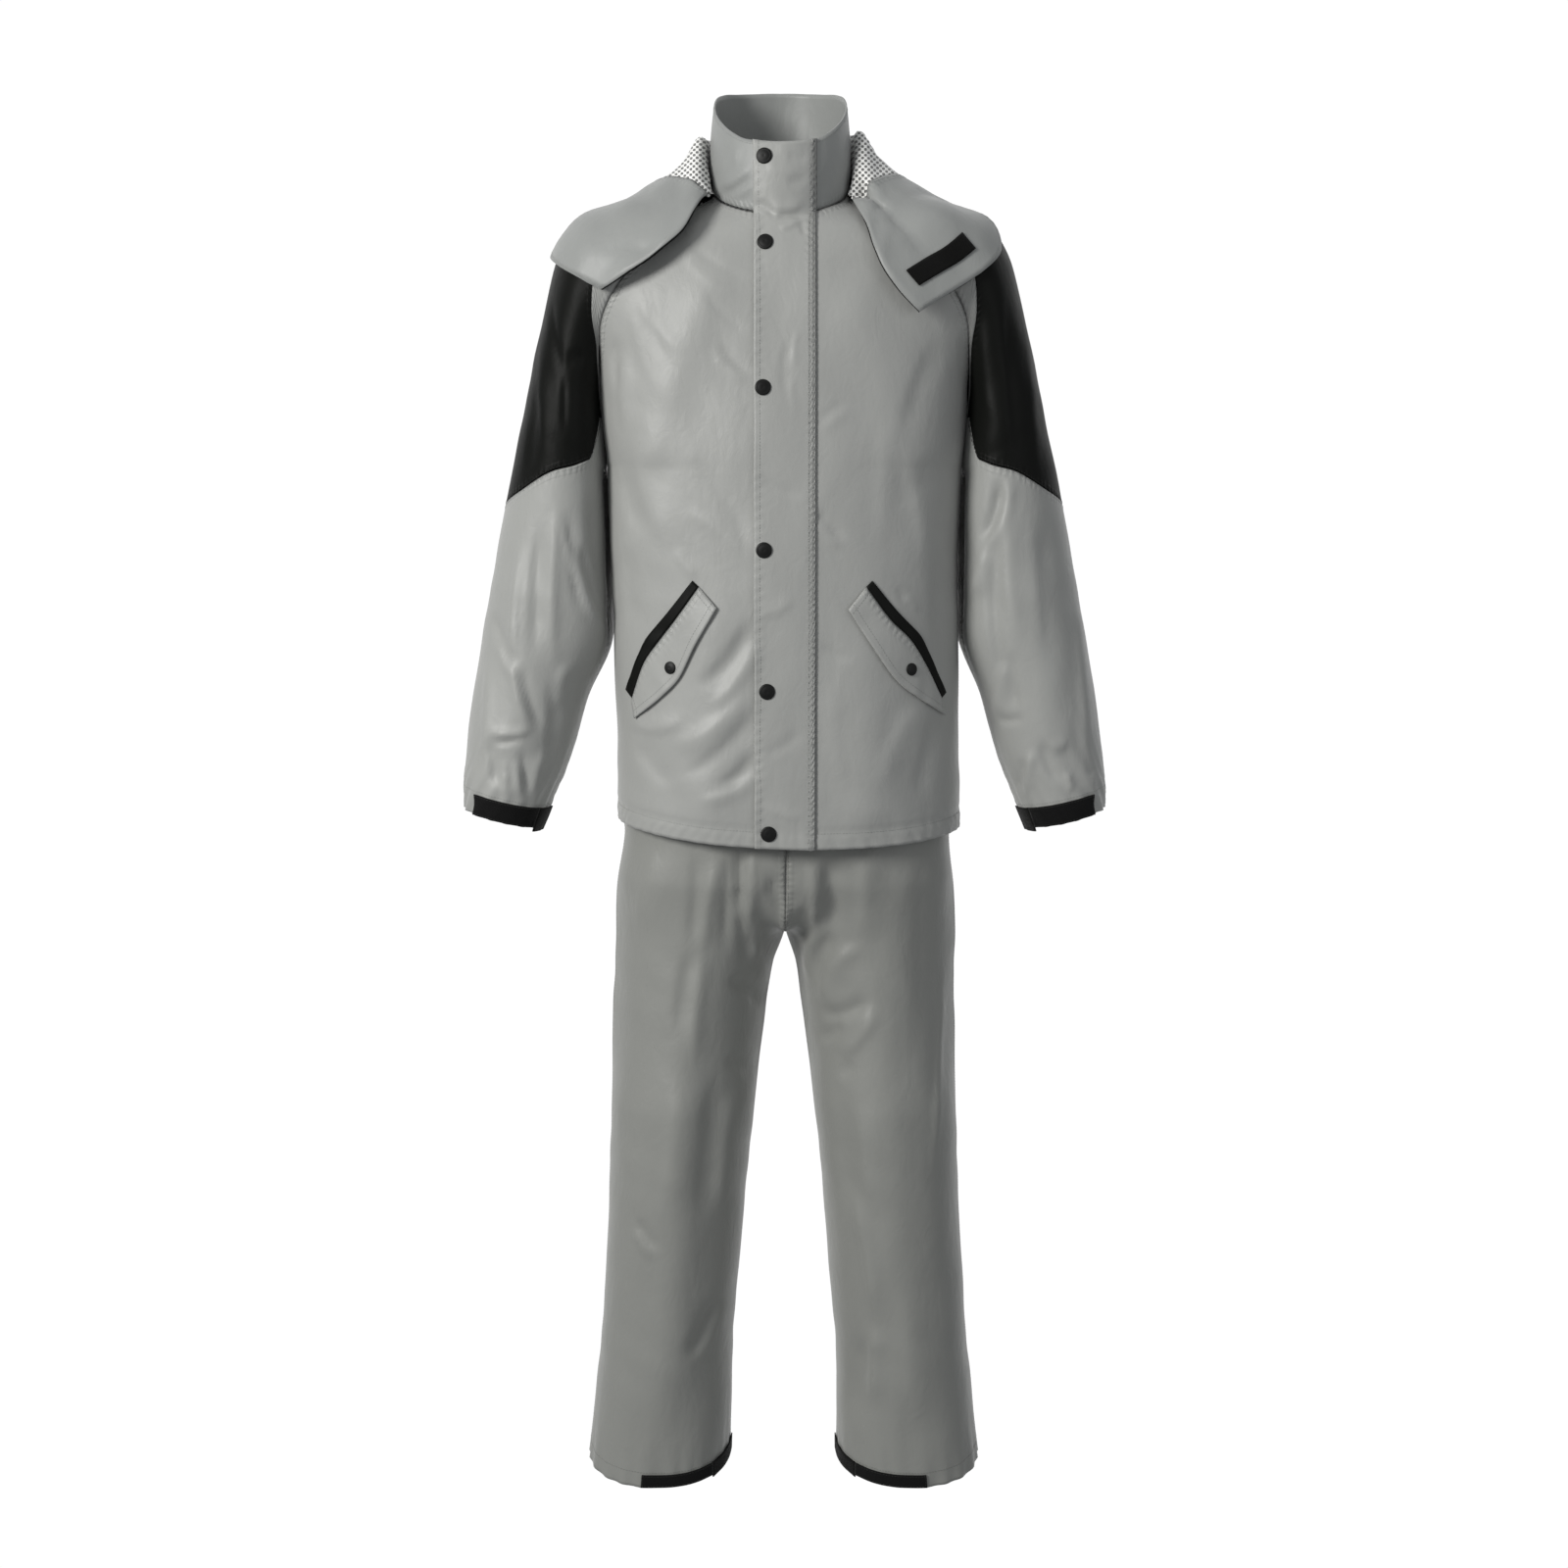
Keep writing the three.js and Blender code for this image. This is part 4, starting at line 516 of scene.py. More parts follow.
def on_jacket(p, side):
    """Points of one side, with the lean that fades out on the sleeves."""
    fade = 1 - smooth((np.abs(p[..., 0]) - 188) / 50)
    lean = jacket_lean(p[..., 2])
    x = side * p[..., 0]
    return vec(x + fade * lean.shift, p[..., 1], p[..., 2] + fade * lean.tilt * x)


def on_trousers(p, side):
    return vec(side * p[..., 0] + trouser_lean(p[..., 2]).shift, p[..., 1], p[..., 2])


def raglan_front(s):
    row = raglan(s)
    return vec(row.frontX, row.frontY, row.frontZ)


def raglan_back(s):
    row = raglan(s)
    return vec(row.backX, row.backY, row.backZ)


def body(rows, raglan_at, neck_from, neck_to):
    """Body rows of the jacket, from the centre line to the side or raglan seam, matched to the neck."""

    def raw(t, v):
        row, side = rows(v), side_seam(v)
        mid = vec(0, row.midY, row.midZ)
        edge = np.where((v > 1)[..., None], raglan_at(2 - v), vec(side.x, 0, side.z))
        bend = vec(row.bendX, row.bendY, row.bendZ)
        return cubic(mid, vec(row.reach, row.midY, row.midZ), edge + bend, edge, t)

    def point(t, v):
        miss = neck_point(neck_from + (neck_to - neck_from) * t) - raw(t, np.full_like(v, 2.0))
        return raw(t, v) + miss * (smooth((v - 1.7) / 0.3) * (t < 1))[..., None]

    return point


front_point = body(front_rows, raglan_front, 0, FRONT_ARC)
back_point = body(back_rows, raglan_back, 180, BACK_ARC)


def raw_sleeve_point(a, v):
    row, arm = sleeve_rows(v), under_arm(v)
    ahead = (a < 0)[..., None]
    top = vec(row.topX, row.topY, row.topZ)
    handle = vec(row.topX, row.topY + np.where(a < 0, -1, 1) * row.reach, row.topZ)
    seam = np.where(ahead, raglan_front(v), raglan_back(v))
    end = np.where((v < 1)[..., None], seam, vec(arm.x, arm.y, arm.z))
    to_front = vec(row.frontX, row.frontY, row.frontZ)
    to_back = vec(row.backX, row.backY, row.backZ)
    return cubic(top, handle, end + np.where(ahead, to_front, to_back), end, np.abs(a))


def sleeve_point(a, v):
    """Sleeve point: a runs from -1 at the front seam over 0 on top to 1 at the back seam."""
    degrees = 90 + np.where(a < 0, 90 - FRONT_ARC, BACK_ARC - 90) * a
    miss = neck_point(degrees) - raw_sleeve_point(a, np.zeros_like(v))
    return raw_sleeve_point(a, v) + miss * ((1 - smooth(v / 0.16)) * (np.abs(a) < 1))[..., None]


# Form of the trousers
def leg(rows, facing, dip):
    """Trouser rows, from the side seam to the centre seam or the inner leg."""

    def point(t, v):
        row = rows(v)
        side = vec(row.sideX, 0, row.sideZ)
        mid = vec(row.midX, row.midY, row.midZ)
        bend = vec(row.bendX, row.bendY, 0)
        p = cubic(side, vec(row.sideX, facing * row.reach, row.sideZ), mid + bend, mid, t)
        p[..., 2] -= dip * smooth((v - 2.1) / 0.4) * 4 * t * (1 - t)
        return p

    return point


leg_front = leg(trouser_front, -1, LEG_HEM_DIP)
leg_back = leg(trouser_back, 1, 0)


# Form of the hood
def hood_point(u, w):
    """Hood point: u goes round the neck, w from the neck seam to the face opening."""
    row = hood_rows(u)
    turn = row.neck + (row.rim - row.neck) * w + row.bow * np.sin(np.pi * w)
    base = np.radians(row.neck)
    neck_r = 1 / np.hypot(np.cos(base) / (NECK_HALF_WIDTH + 4), np.sin(base) / (NECK_HALF_DEPTH + 4))
    neck_z = NECK_MIDDLE_Z + 6 + NECK_DROP * np.sin(base) * (neck_r / NECK_HALF_DEPTH)
    outs = np.stack([neck_r, row.crestR, row.fallR, row.lowR, row.riseR, row.rimR])
    heights = np.stack([neck_z, row.crestZ, row.fallZ, row.lowZ, row.riseZ, row.rimZ])
    knots = np.stack([outs, heights], axis=-1)
    knots = np.concatenate([2 * knots[:1] - knots[1:2], knots, 2 * knots[-1:] - knots[-2:-1]])
    spans = np.linalg.norm(np.diff(knots, axis=0), axis=-1) ** 0.5
    place = np.clip(w, 0, 1) * 5
    i = np.clip(np.floor(place).astype(int), 0, 4)
    t = (place - i)[..., None]
    grid = np.indices(i.shape)

    def pick(values, step):
        return values[(i + step, *grid)]

    p0, p1, p2, p3 = (pick(knots, step) for step in range(4))
    d0, d1, d2 = (pick(spans, step)[..., None] for step in range(3))
    t1 = ((p1 - p0) / d0 - (p2 - p0) / (d0 + d1) + (p2 - p1) / d1) * d1
    t2 = ((p2 - p1) / d1 - (p3 - p1) / (d1 + d2) + (p3 - p2) / d2) * d1
    spot = p1 + t1 * t + (3 * (p2 - p1) - 2 * t1 - t2) * t**2 + (2 * (p1 - p2) + t1 + t2) * t**3
    out, height = spot[..., 0], spot[..., 1]
    shift = jacket_lean(height).shift * (1 - smooth((out - 120) / 80))
    return vec(-out * np.cos(np.radians(turn)) + shift, out * np.sin(np.radians(turn)), height)


# Skins: grids of cloth points, rows by columns
class Skin:
    """Grid of cloth points with its outward side, and its sewn borders: l, r, b (first row), t (last row)."""

    def __init__(self, points, flip=False, sewn=""):
        self.points = points
        self.flip = flip
        self.sewn = sewn
        self.unsewn = {}
        self.normals = None

    def own_normals(self):
        """Sum of the normals of the faces at each point, unscaled."""
        p = self.points
        face = np.cross(p[1:, 1:] - p[:-1, :-1], p[1:, :-1] - p[:-1, 1:])
        total = np.zeros_like(p)
        for rows in (slice(None, -1), slice(1, None)):
            for columns in (slice(None, -1), slice(1, None)):
                total[rows, columns] += face
        return -total if self.flip else total

    def across(self):
        """Distance along each row from its first point."""
        steps = np.linalg.norm(np.diff(self.points, axis=1), axis=-1)
        return np.concatenate([np.zeros((len(steps), 1)), np.cumsum(steps, axis=1)], axis=1)

    def along(self):
        """Distance along each column from its first point."""
        steps = np.linalg.norm(np.diff(self.points, axis=0), axis=-1)
        return np.concatenate([np.zeros((1, steps.shape[1])), np.cumsum(steps, axis=0)])

    def to_border(self, border):
        across, along = self.across(), self.along()
        return {
            "l": across,
            "r": across[:, -1:] - across,
            "b": along,
            "t": along[-1:] - along,
        }[border]

    def edge_and_run(self):
        """Distance to the nearest sewn border, and distance along it, for every point."""
        edge = np.full(self.points.shape[:2], 99.0)
        run = np.zeros_like(edge)
        for border in self.sewn:
            away = np.where(self.unsewn.get(border, False), 99.0, self.to_border(border))
            nearer = away < edge
            edge = np.where(nearer, away, edge)
            run = np.where(nearer, self.along() if border in "lr" else self.across(), run)
        return edge, run

    def at(self, row, column):
        """Points and normals at fractional rows and columns."""
        row, column = np.broadcast_arrays(np.asarray(row, float), np.asarray(column, float))
        j = np.clip(np.floor(row).astype(int), 0, self.points.shape[0] - 2)
        i = np.clip(np.floor(column).astype(int), 0, self.points.shape[1] - 2)
        t, s = (row - j)[..., None], (column - i)[..., None]

        def blend(grid):
            low = grid[j, i] * (1 - s) + grid[j, i + 1] * s
            high = grid[j + 1, i] * (1 - s) + grid[j + 1, i + 1] * s
            return low * (1 - t) + high * t

        return blend(self.points), unit(blend(self.normals))

    def beside(self, border, distance, start=0.0, stop=1.0):
        """Line of points and normals at a distance from a border, between two shares of its length."""
        away = self.to_border(border)
        sideways = border in "lr"
        away = away if sideways else away.T
        places = np.arange(int(start * (len(away) - 1)), int(stop * (len(away) - 1)) + 1)
        order = slice(None) if border in "lb" else slice(None, None, -1)
        numbers = np.arange(away.shape[1], dtype=float)[order]
        found = np.array([np.interp(distance, away[k][order], numbers) for k in places])
        return self.at(places, found) if sideways else self.at(found, places)


def keys_of(p, size=0.05):
    return np.round(p.reshape(-1, 3) / size).astype(np.int64)


def share_normals(skins):
    """Skins that are sewn together share their normals at the seams."""
    sums = np.concatenate([skin.own_normals().reshape(-1, 3) for skin in skins])
    keys = np.concatenate([keys_of(skin.points) for skin in skins])
    _, place = np.unique(keys, axis=0, return_inverse=True)
    place = place.reshape(-1)
    total = np.zeros((place.max() + 1, 3))
    np.add.at(total, place, sums)
    shared, own = unit(total)[place], unit(sums)
    normals = np.where((np.sum(shared * own, axis=1) > 0.3)[:, None], shared, own)
    start = 0
    for skin in skins:
        count = skin.points.shape[0] * skin.points.shape[1]
        skin.normals = normals[start:start + count].reshape(skin.points.shape)
        start += count


# Folds and creases
def large_folds(p):
    rise = np.zeros(p.shape[:-1])
    for x0, z0, x1, z1, half, height, face in FOLDS:
        dx, dz = x1 - x0, z1 - z0
        size = math.hypot(dx, dz)
        along = ((p[..., 0] - x0) * dx + (p[..., 2] - z0) * dz) / size**2
        away = ((p[..., 0] - x0) * dz - (p[..., 2] - z0) * dx) / size
        ends = smooth(along / 0.25) * smooth((1 - along) / 0.15)
        turned = smooth((face * p[..., 1] - 20) / 40)
        rise += height * ends * turned * np.exp(-2 * (away / half) ** 2)
    return rise


def creases(p, n, rows, facing):
    """Rise of listed creases in front or back view, tapered at both ends, with one flank steeper."""
    rise = np.zeros(p.shape[:-1])
    for x0, z0, x1, z1, bow, half, height in rows:
        dx, dz = x1 - x0, z1 - z0
        size = math.hypot(dx, dz)
        along = ((p[..., 0] - x0) * dx + (p[..., 2] - z0) * dz) / size**2
        away = ((p[..., 0] - x0) * dz - (p[..., 2] - z0) * dx) / size - 4 * bow * along * (1 - along)
        flank = half * np.where(away > 0, 0.65, 1.1)
        taper = smooth((along + 0.08) / 0.35) * smooth((1.08 - along) / 0.4)
        rise += height * taper * np.exp(-((away / flank) ** 2))
    return rise * smooth(0.1 + 1.4 * facing * n[..., 1])


def undulation(p):
    """Slow unevenness of hanging cloth."""
    x, y, z = p[..., 0], p[..., 1], p[..., 2]
    slow = np.sin(0.055 * x + 1.7 * np.sin(0.013 * z + 0.4) + 0.02 * y) * np.sin(0.021 * z + 0.011 * x + 0.8)
    quick = np.sin(0.09 * x + 0.045 * z + 2.1 * np.sin(0.03 * z)) * np.sin(0.038 * z - 0.03 * x + 0.03 * y)
    return 0.9 * slow + 0.5 * quick


def turned_over(rows, drop):
    """Creases for the hidden side, like those in front but mirrored and shifted."""
    return [
        (-x0, z0 - drop, -x1, z1 - drop, -bow, half * 1.1, 0.9 * rise)
        for x0, z0, x1, z1, bow, half, rise in rows
    ]


def raise_skins(skins, shaped):
    """Moves every skin out by its folds, unevenness and creases; shaped gives a skin's own rise."""
    share_normals(skins)
    moved = []
    for skin in skins:
        edge, _ = skin.edge_and_run()
        rise = large_folds(skin.points) + undulation(skin.points) + shaped(skin) * smooth(edge / 7)
        moved.append(skin.points + skin.normals * rise[..., None])
    for skin, points in zip(skins, moved):
        skin.points = points
    share_normals(skins)


# Meshes
def own(obj, nodes, slot):
    """Links a finished piece to the frame."""
    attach(obj, "root")
    if nodes:
        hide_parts(*nodes)
    return obj


def grid_quads(index):
    """Corner numbers of the cells of a grid."""
    corners = [index[:-1, :-1], index[:-1, 1:], index[1:, 1:], index[1:, :-1]]
    return np.stack(corners, axis=-1).reshape(-1, 4)


def cloth_mesh(name, skins, material, thickness, slot, nodes):
    """One piece of cloth from its skins, welded where they meet, with its wall on the inner side."""
    points = np.concatenate([skin.points.reshape(-1, 3) for skin in skins])
    _, first, place = np.unique(keys_of(points, 0.02), axis=0, return_index=True, return_inverse=True)
    place = place.reshape(-1)
    edges, runs, maps, faces, corners = [], [], [], [], []
    start = 0
    for skin in skins:
        rows, columns = skin.points.shape[:2]
        edge, run = skin.edge_and_run()
        edges.append(edge.reshape(-1))
        runs.append(run.reshape(-1))
        across = skin.across()
        maps.append(np.stack([across - across[:, -1:] / 2, skin.along()], axis=-1).reshape(-1, 2))
        index = start + np.arange(rows * columns).reshape(rows, columns)
        quads = grid_quads(index)
        for quad in (quads[:, ::-1] if skin.flip else quads).tolist():
            face = []
            for corner in quad:
                if place[corner] not in [place[k] for k in face]:
                    face.append(corner)
            if len(face) > 2:
                faces.append([int(place[k]) for k in face])
                corners.extend(face)
        start += rows * columns
    mesh = bpy.data.meshes.new(name)
    mesh.from_pydata((points[first] * MM).tolist(), [], faces)
    mesh.uv_layers.new(name="cloth").data.foreach_set("uv", (np.concatenate(maps)[corners] * MM).reshape(-1))
    near = np.full(len(first), 99.0)
    np.minimum.at(near, place, np.concatenate(edges))
    mesh.attributes.new("edge", "FLOAT", "POINT").data.foreach_set("value", near)
    mesh.attributes.new("run", "FLOAT", "POINT").data.foreach_set("value", np.concatenate(runs)[first])
    mesh.shade_smooth()
    mesh.materials.append(material)
    obj = bpy.data.objects.new(name, mesh)
    bpy.context.scene.collection.objects.link(obj)
    if thickness:
        wall = obj.modifiers.new("wall", "SOLIDIFY")
        wall.thickness = thickness * MM
        wall.offset = -1
    return own(obj, nodes, slot)


def plain_mesh(name, points, faces, material, slot, nodes=(), smooth_faces=True):
    mesh = bpy.data.meshes.new(name)
    mesh.from_pydata((np.asarray(points) * MM).tolist(), [], faces)
    if smooth_faces:
        mesh.shade_smooth()
    mesh.materials.append(material)
    obj = bpy.data.objects.new(name, mesh)
    bpy.context.scene.collection.objects.link(obj)
    return own(obj, list(nodes), slot)


def surface_of(skins):
    """Search tree over skins, in millimetres."""
    points, faces, start = [], [], 0
    for skin in skins:
        rows, columns = skin.points.shape[:2]
        index = start + np.arange(rows * columns).reshape(rows, columns)
        quads = grid_quads(index)
        faces.extend((quads[:, ::-1] if skin.flip else quads).tolist())
        points.extend(skin.points.reshape(-1, 3).tolist())
        start += rows * columns
    return BVHTree.FromPolygons(points, faces)


def hit_from_front(tree, x, z):
    """Point and normal where a line from the front meets the cloth."""
    for step in (0, 0.8, -0.8, 2, -2, 4, -4):
        spot, normal, _, _ = tree.ray_cast(Vector((x, -600, z + step)), Vector((0, 1, 0)))
        if spot:
            return np.array([x, spot.y, z]), np.array(normal)
    raise ValueError(f"no cloth at {x}, {z}")


def laid(tree, places, lift, flip=False, sewn=""):
    """Skin laid on the cloth at a grid of x and z places, with its height above the cloth at each."""
    found = [[hit_from_front(tree, *place) for place in row] for row in places]
    points = np.array([[spot for spot, _ in row] for row in found])
    normals = np.array([[normal for _, normal in row] for row in found])
    for _ in range(3):
        padded = np.pad(normals, ((1, 1), (1, 1), (0, 0)), mode="edge")
        above, below, middle = padded[:-2, 1:-1], padded[2:, 1:-1], padded[1:-1, 1:-1]
        normals = unit(above + below + padded[1:-1, :-2] + padded[1:-1, 2:] + middle)
    skin = Skin(points + normals * np.asarray(lift)[..., None], flip, sewn)
    share_normals([skin])
    return skin


def stitches(lines, pitch=3.3, length=2.3, width=0.55, height=0.32):
    """Points and faces of sewing stitches along lines of points and normals."""
    foot = [[-1, -1, 0], [1, -1, 0], [1, 1, 0], [-1, 1, 0]]
    box = np.array(foot + [[0.7 * x, 0.5 * y, 1] for x, y, _ in foot])
    sides = np.array([[4, 5, 6, 7], [0, 1, 5, 4], [1, 2, 6, 5], [2, 3, 7, 6], [3, 0, 4, 7], [3, 2, 1, 0]])
    points, faces, start = [], [], 0
    for line, normals in lines:
        run = np.concatenate([[0], np.cumsum(np.linalg.norm(np.diff(line, axis=0), axis=1))])
        middles = np.arange(pitch / 2, run[-1], pitch)
        if not len(middles):
            continue
        centre = np.stack([np.interp(middles, run, line[:, k]) for k in range(3)], axis=1)
        ahead = np.stack([np.interp(middles + 0.6, run, line[:, k]) for k in range(3)], axis=1)
        behind = np.stack([np.interp(middles - 0.6, run, line[:, k]) for k in range(3)], axis=1)
        up = unit(np.stack([np.interp(middles, run, normals[:, k]) for k in range(3)], axis=1))
        way = unit(ahead - behind)
        side = unit(np.cross(up, way))
        spots = (
            centre[:, None]
            + way[:, None] * box[None, :, :1] * length / 2
            + side[:, None] * box[None, :, 1:2] * width / 2
            + up[:, None] * (box[None, :, 2:] * height - 0.04)
        )
        points.append(spots.reshape(-1, 3))
        faces.append((sides[None] + (start + 8 * np.arange(len(middles)))[:, None, None]).reshape(-1, 4))
        start += 8 * len(middles)
    return np.concatenate(points), np.concatenate(faces).tolist()


# Materials
def linear(colour):
    """Linear colour from 0 to 255 screen values."""
    parts = [c / 255 for c in colour]
    return tuple(p / 12.92 if p <= 0.04045 else ((p + 0.055) / 1.055) ** 2.4 for p in parts) + (1.0,)


class Look:
    """Node material in the making: small helpers round one Principled shader."""

    def __init__(self, name):
        self.material = bpy.data.materials.new(name)
        self.material.use_nodes = True
        self.tree = self.material.node_tree
        self.shader = self.tree.nodes["Principled BSDF"]
        self.place = self.node("ShaderNodeTexCoord")

    def node(self, kind, inputs=(), **settings):
        made = self.tree.nodes.new(kind)
        for key, value in settings.items():
            setattr(made, key, value)
        for key, value in dict(inputs).items():
            self.feed(made.inputs[key], value)
        return made

    def feed(self, socket, value):
        if isinstance(value, bpy.types.NodeSocket):
            self.tree.links.new(value, socket)
        else:
            socket.default_value = value

    def math(self, operation, a, b=0.0, c=0.0):
        return self.node("ShaderNodeMath", {0: a, 1: b, 2: c}, operation=operation).outputs[0]

    def span(self, value, low, high, to_low, to_high, kind="SMOOTHSTEP"):
        inputs = {"Value": value, "From Min": low, "From Max": high, "To Min": to_low, "To Max": to_high}
        return self.node("ShaderNodeMapRange", inputs, interpolation_type=kind).outputs["Result"]

    def noise(self, scale, detail=4.0, rough=0.55, stretch=(1, 1, 1), distortion=0.0):
        moved = self.node("ShaderNodeMapping", {"Vector": self.place.outputs["Object"], "Scale": stretch})
        inputs = {"Vector": moved.outputs[0], "Scale": scale, "Detail": detail}
        inputs |= {"Roughness": rough, "Distortion": distortion}
        return self.node("ShaderNodeTexNoise", inputs).outputs[0]

    def wave(self, period, direction):
        """Bands across the cloth's own map, with their period in millimetres."""
        scale = 2 * math.pi / (20 * period * MM)
        inputs = {"Vector": self.place.outputs["UV"], "Scale": scale}
        return self.node("ShaderNodeTexWave", inputs, bands_direction=direction).outputs["Fac"]

    def value(self, name):
        return self.node("ShaderNodeAttribute", attribute_name=name).outputs["Fac"]

    def shade(self, colour, factor):
        """Colour times a factor."""
        grey = self.node("ShaderNodeCombineColor", {0: factor, 1: factor, 2: factor}).outputs[0]
        inputs = {6: linear(colour), 7: grey, 0: 1.0}
        mixed = self.node("ShaderNodeMix", inputs, data_type="RGBA", blend_type="MULTIPLY")
        return mixed.outputs[2]

    def bump(self, height):
        """Relief from a height in millimetres."""
        made = self.node("ShaderNodeBump", {"Height": height, "Distance": MM, "Strength": 1.0})
        self.feed(self.shader.inputs["Normal"], made.outputs[0])

    def finish(self, **values):
        for name, value in values.items():
            self.feed(self.shader.inputs[name.replace("_", " ")], value)
        return self.material


def nylon(name, colour, rough=0.46, crumple=0.8, sheen=0.15, groove=0.7, grain=0.03, tone=0.06, gloss=0.38):
    """Coated woven cloth: soft crumples, puckers beside the seams, weave, tones that vary, and painted shade
    in the seam grooves.
    """
    look = Look(name)
    edge, run = look.value("edge"), look.value("run")
    soft = look.noise(17, 3, 0.5, (1, 1, 0.5), 0.4)
    fine = look.noise(60, 4, 0.6, (1, 1, 0.6), 0.8)
    weave = look.math("MULTIPLY", look.wave(0.9, "X"), look.wave(0.9, "Y"))
    wobble = look.math("MULTIPLY_ADD", fine, 9.0, look.math("MULTIPLY", run, 0.85))
    ripple = look.math("MULTIPLY", look.math("SINE", wobble), look.span(edge, 1, 13, 0.28, 0))
    seam = look.math("MULTIPLY", look.span(edge, 0, 1.7, 1, 0), -groove)
    welt = look.math("MULTIPLY", look.span(edge, 6.5, 8.5, 1, 0), 0.22)
    height = look.math("MULTIPLY_ADD", soft, 2.4 * crumple, look.math("MULTIPLY", fine, 0.75 * crumple))
    for part in (ripple, seam, welt, look.math("MULTIPLY", weave, grain)):
        height = look.math("ADD", height, part)
    look.bump(height)
    patchy = look.math("MULTIPLY_ADD", look.noise(5, 2), tone, 1 - tone / 2)
    speckle = look.math("MULTIPLY_ADD", look.noise(900, 2), tone * 0.9, 1 - tone * 0.45)
    # Darker within 1.3 mm of a sewn border: painted shade in the seam groove
    dark = look.span(edge, 0, 1.3, 0.66, 1)
    factor = look.math("MULTIPLY", look.math("MULTIPLY", patchy, speckle), dark)
    worn = look.math("MULTIPLY_ADD", look.noise(30, 3), 0.12, rough - 0.06)
    return look.finish(
        Base_Color=look.shade(colour, factor), Roughness=worn, Specular_IOR_Level=gloss,
        Sheen_Weight=sheen, Sheen_Roughness=0.5,
    )


def knitted_net(name, colour):
    """Knitted lining with staggered holes, set out in front view."""
    look = Look(name)
    split = look.node("ShaderNodeSeparateXYZ", {0: look.place.outputs["Object"]})
    bent = look.math("MULTIPLY", look.noise(25, 2), 2.0)
    u = look.math("COSINE", look.math("MULTIPLY_ADD", split.outputs[0], 2 * math.pi / (6.4 * MM), bent))
    v = look.math("COSINE", look.math("MULTIPLY_ADD", split.outputs[2], 2 * math.pi / (6.4 * MM), bent))
    hole = look.span(look.math("MULTIPLY", u, v), 0.02, 0.3, 0, 1)
    look.bump(look.math("MULTIPLY_ADD", look.noise(300, 3), 0.3, look.math("MULTIPLY", hole, -1.0)))
    tone = look.math("MULTIPLY_ADD", look.noise(40, 3), 0.16, 0.92)
    factor = look.math("MULTIPLY", tone, look.math("MULTIPLY_ADD", hole, -0.82, 1.0))
    shade = look.shade(colour, factor)
    return look.finish(Base_Color=shade, Roughness=0.85, Sheen_Weight=0.35, Specular_IOR_Level=0.2)


def napped_tape(name, colour, ribs):
    """Closing tape: small ribs or hooks, and soft fibres."""
    look = Look(name)
    bands = look.math("MULTIPLY", look.wave(ribs, "X"), look.wave(ribs, "Y"))
    look.bump(look.math("MULTIPLY_ADD", bands, 0.3, look.math("MULTIPLY", look.noise(420, 4), 0.35)))
    factor = look.math("MULTIPLY_ADD", look.noise(260, 3), 0.9, 0.6)
    shade = look.shade(colour, factor)
    return look.finish(Base_Color=shade, Roughness=0.8, Sheen_Weight=0.05, Specular_IOR_Level=0.12)


def hard_shell(name, colour):
    """Painted press stud with fine scratches."""
    look = Look(name)
    look.bump(look.math("MULTIPLY", look.noise(500, 3, 0.6, (1, 1, 6)), 0.006))
    worn = look.math("MULTIPLY_ADD", look.noise(180, 3), 0.2, 0.36)
    factor = look.math("MULTIPLY_ADD", look.noise(220, 3), 0.5, 0.75)
    return look.finish(Base_Color=look.shade(colour, factor), Roughness=worn, Specular_IOR_Level=0.25)


def thread(name, colour):
    look = Look(name)
    inputs = {"Vector": look.place.outputs["Object"], "Scale": 420.0}
    twist = look.node("ShaderNodeTexWave", inputs, bands_direction="DIAGONAL")
    look.bump(look.math("MULTIPLY", twist.outputs["Fac"], 0.1))
    tone = look.math("MULTIPLY_ADD", look.noise(150, 2), 0.4, 0.8)
    return look.finish(Base_Color=look.shade(colour, tone), Roughness=0.6)


# Threads run in lines of points and normals, gathered here by colour
lines = {"grey": [], "black": [], "trousers": []}


def sew(colour, skin, border, *distances, start=0.0, stop=1.0, out=0.0):
    """Rows of stitches beside a border of a skin."""
    for distance in distances:
        line, normals = skin.beside(border, distance, start, stop)
        lines[colour].append((line + normals * out, normals))


def facing(skin, normals):
    """Turns a skin so that its outward side agrees with the given normals."""
    share_normals([skin])
    if np.sum(skin.normals * normals) < 0:
        skin.flip = not skin.flip
        share_normals([skin])
    return skin


# Jacket skins
low = np.linspace(0, 1, LOW_ROWS + 1)
seam_steps = CORNER * np.arange(SEAM_ROWS + 1) / SEAM_ROWS
corner_steps = CORNER + (1 - CORNER) * np.arange(1, CORNER_ROWS + 1) / CORNER_ROWS
body_v = np.concatenate([low, 2 - np.concatenate([seam_steps, corner_steps])[-2::-1]])
RAGLAN_SHARE = LOW_ROWS / (len(body_v) - 1)


def front_skin(side):
    t, v = np.meshgrid(np.linspace(0, 1, FRONT_COLUMNS + 1), body_v)
    return Skin(on_jacket(front_point(t, v), side), side < 0, "rt")


def back_skin():
    c, v = np.meshgrid(np.linspace(-1, 1, BACK_COLUMNS + 1), body_v)
    return Skin(on_jacket(back_point(np.abs(c), v), np.where(c < 0, -1, 1)), True, "lrt")


spread = np.linspace(-1, 1, SLEEVE_COLUMNS + 1)


def end_v(c):
    """Where the black shoulder piece ends, by share of its half width."""
    return np.where(np.abs(c) > 0.9999, CORNER, shoulder_end(np.abs(c)).v)


def shoulder_skin(side):
    c, share = np.meshgrid(spread, np.arange(SEAM_ROWS + 1) / SEAM_ROWS)
    v = end_v(c) * share
    return Skin(on_jacket(sleeve_point(c * shoulder_side(v).a, v), side), side > 0, "lrbt")


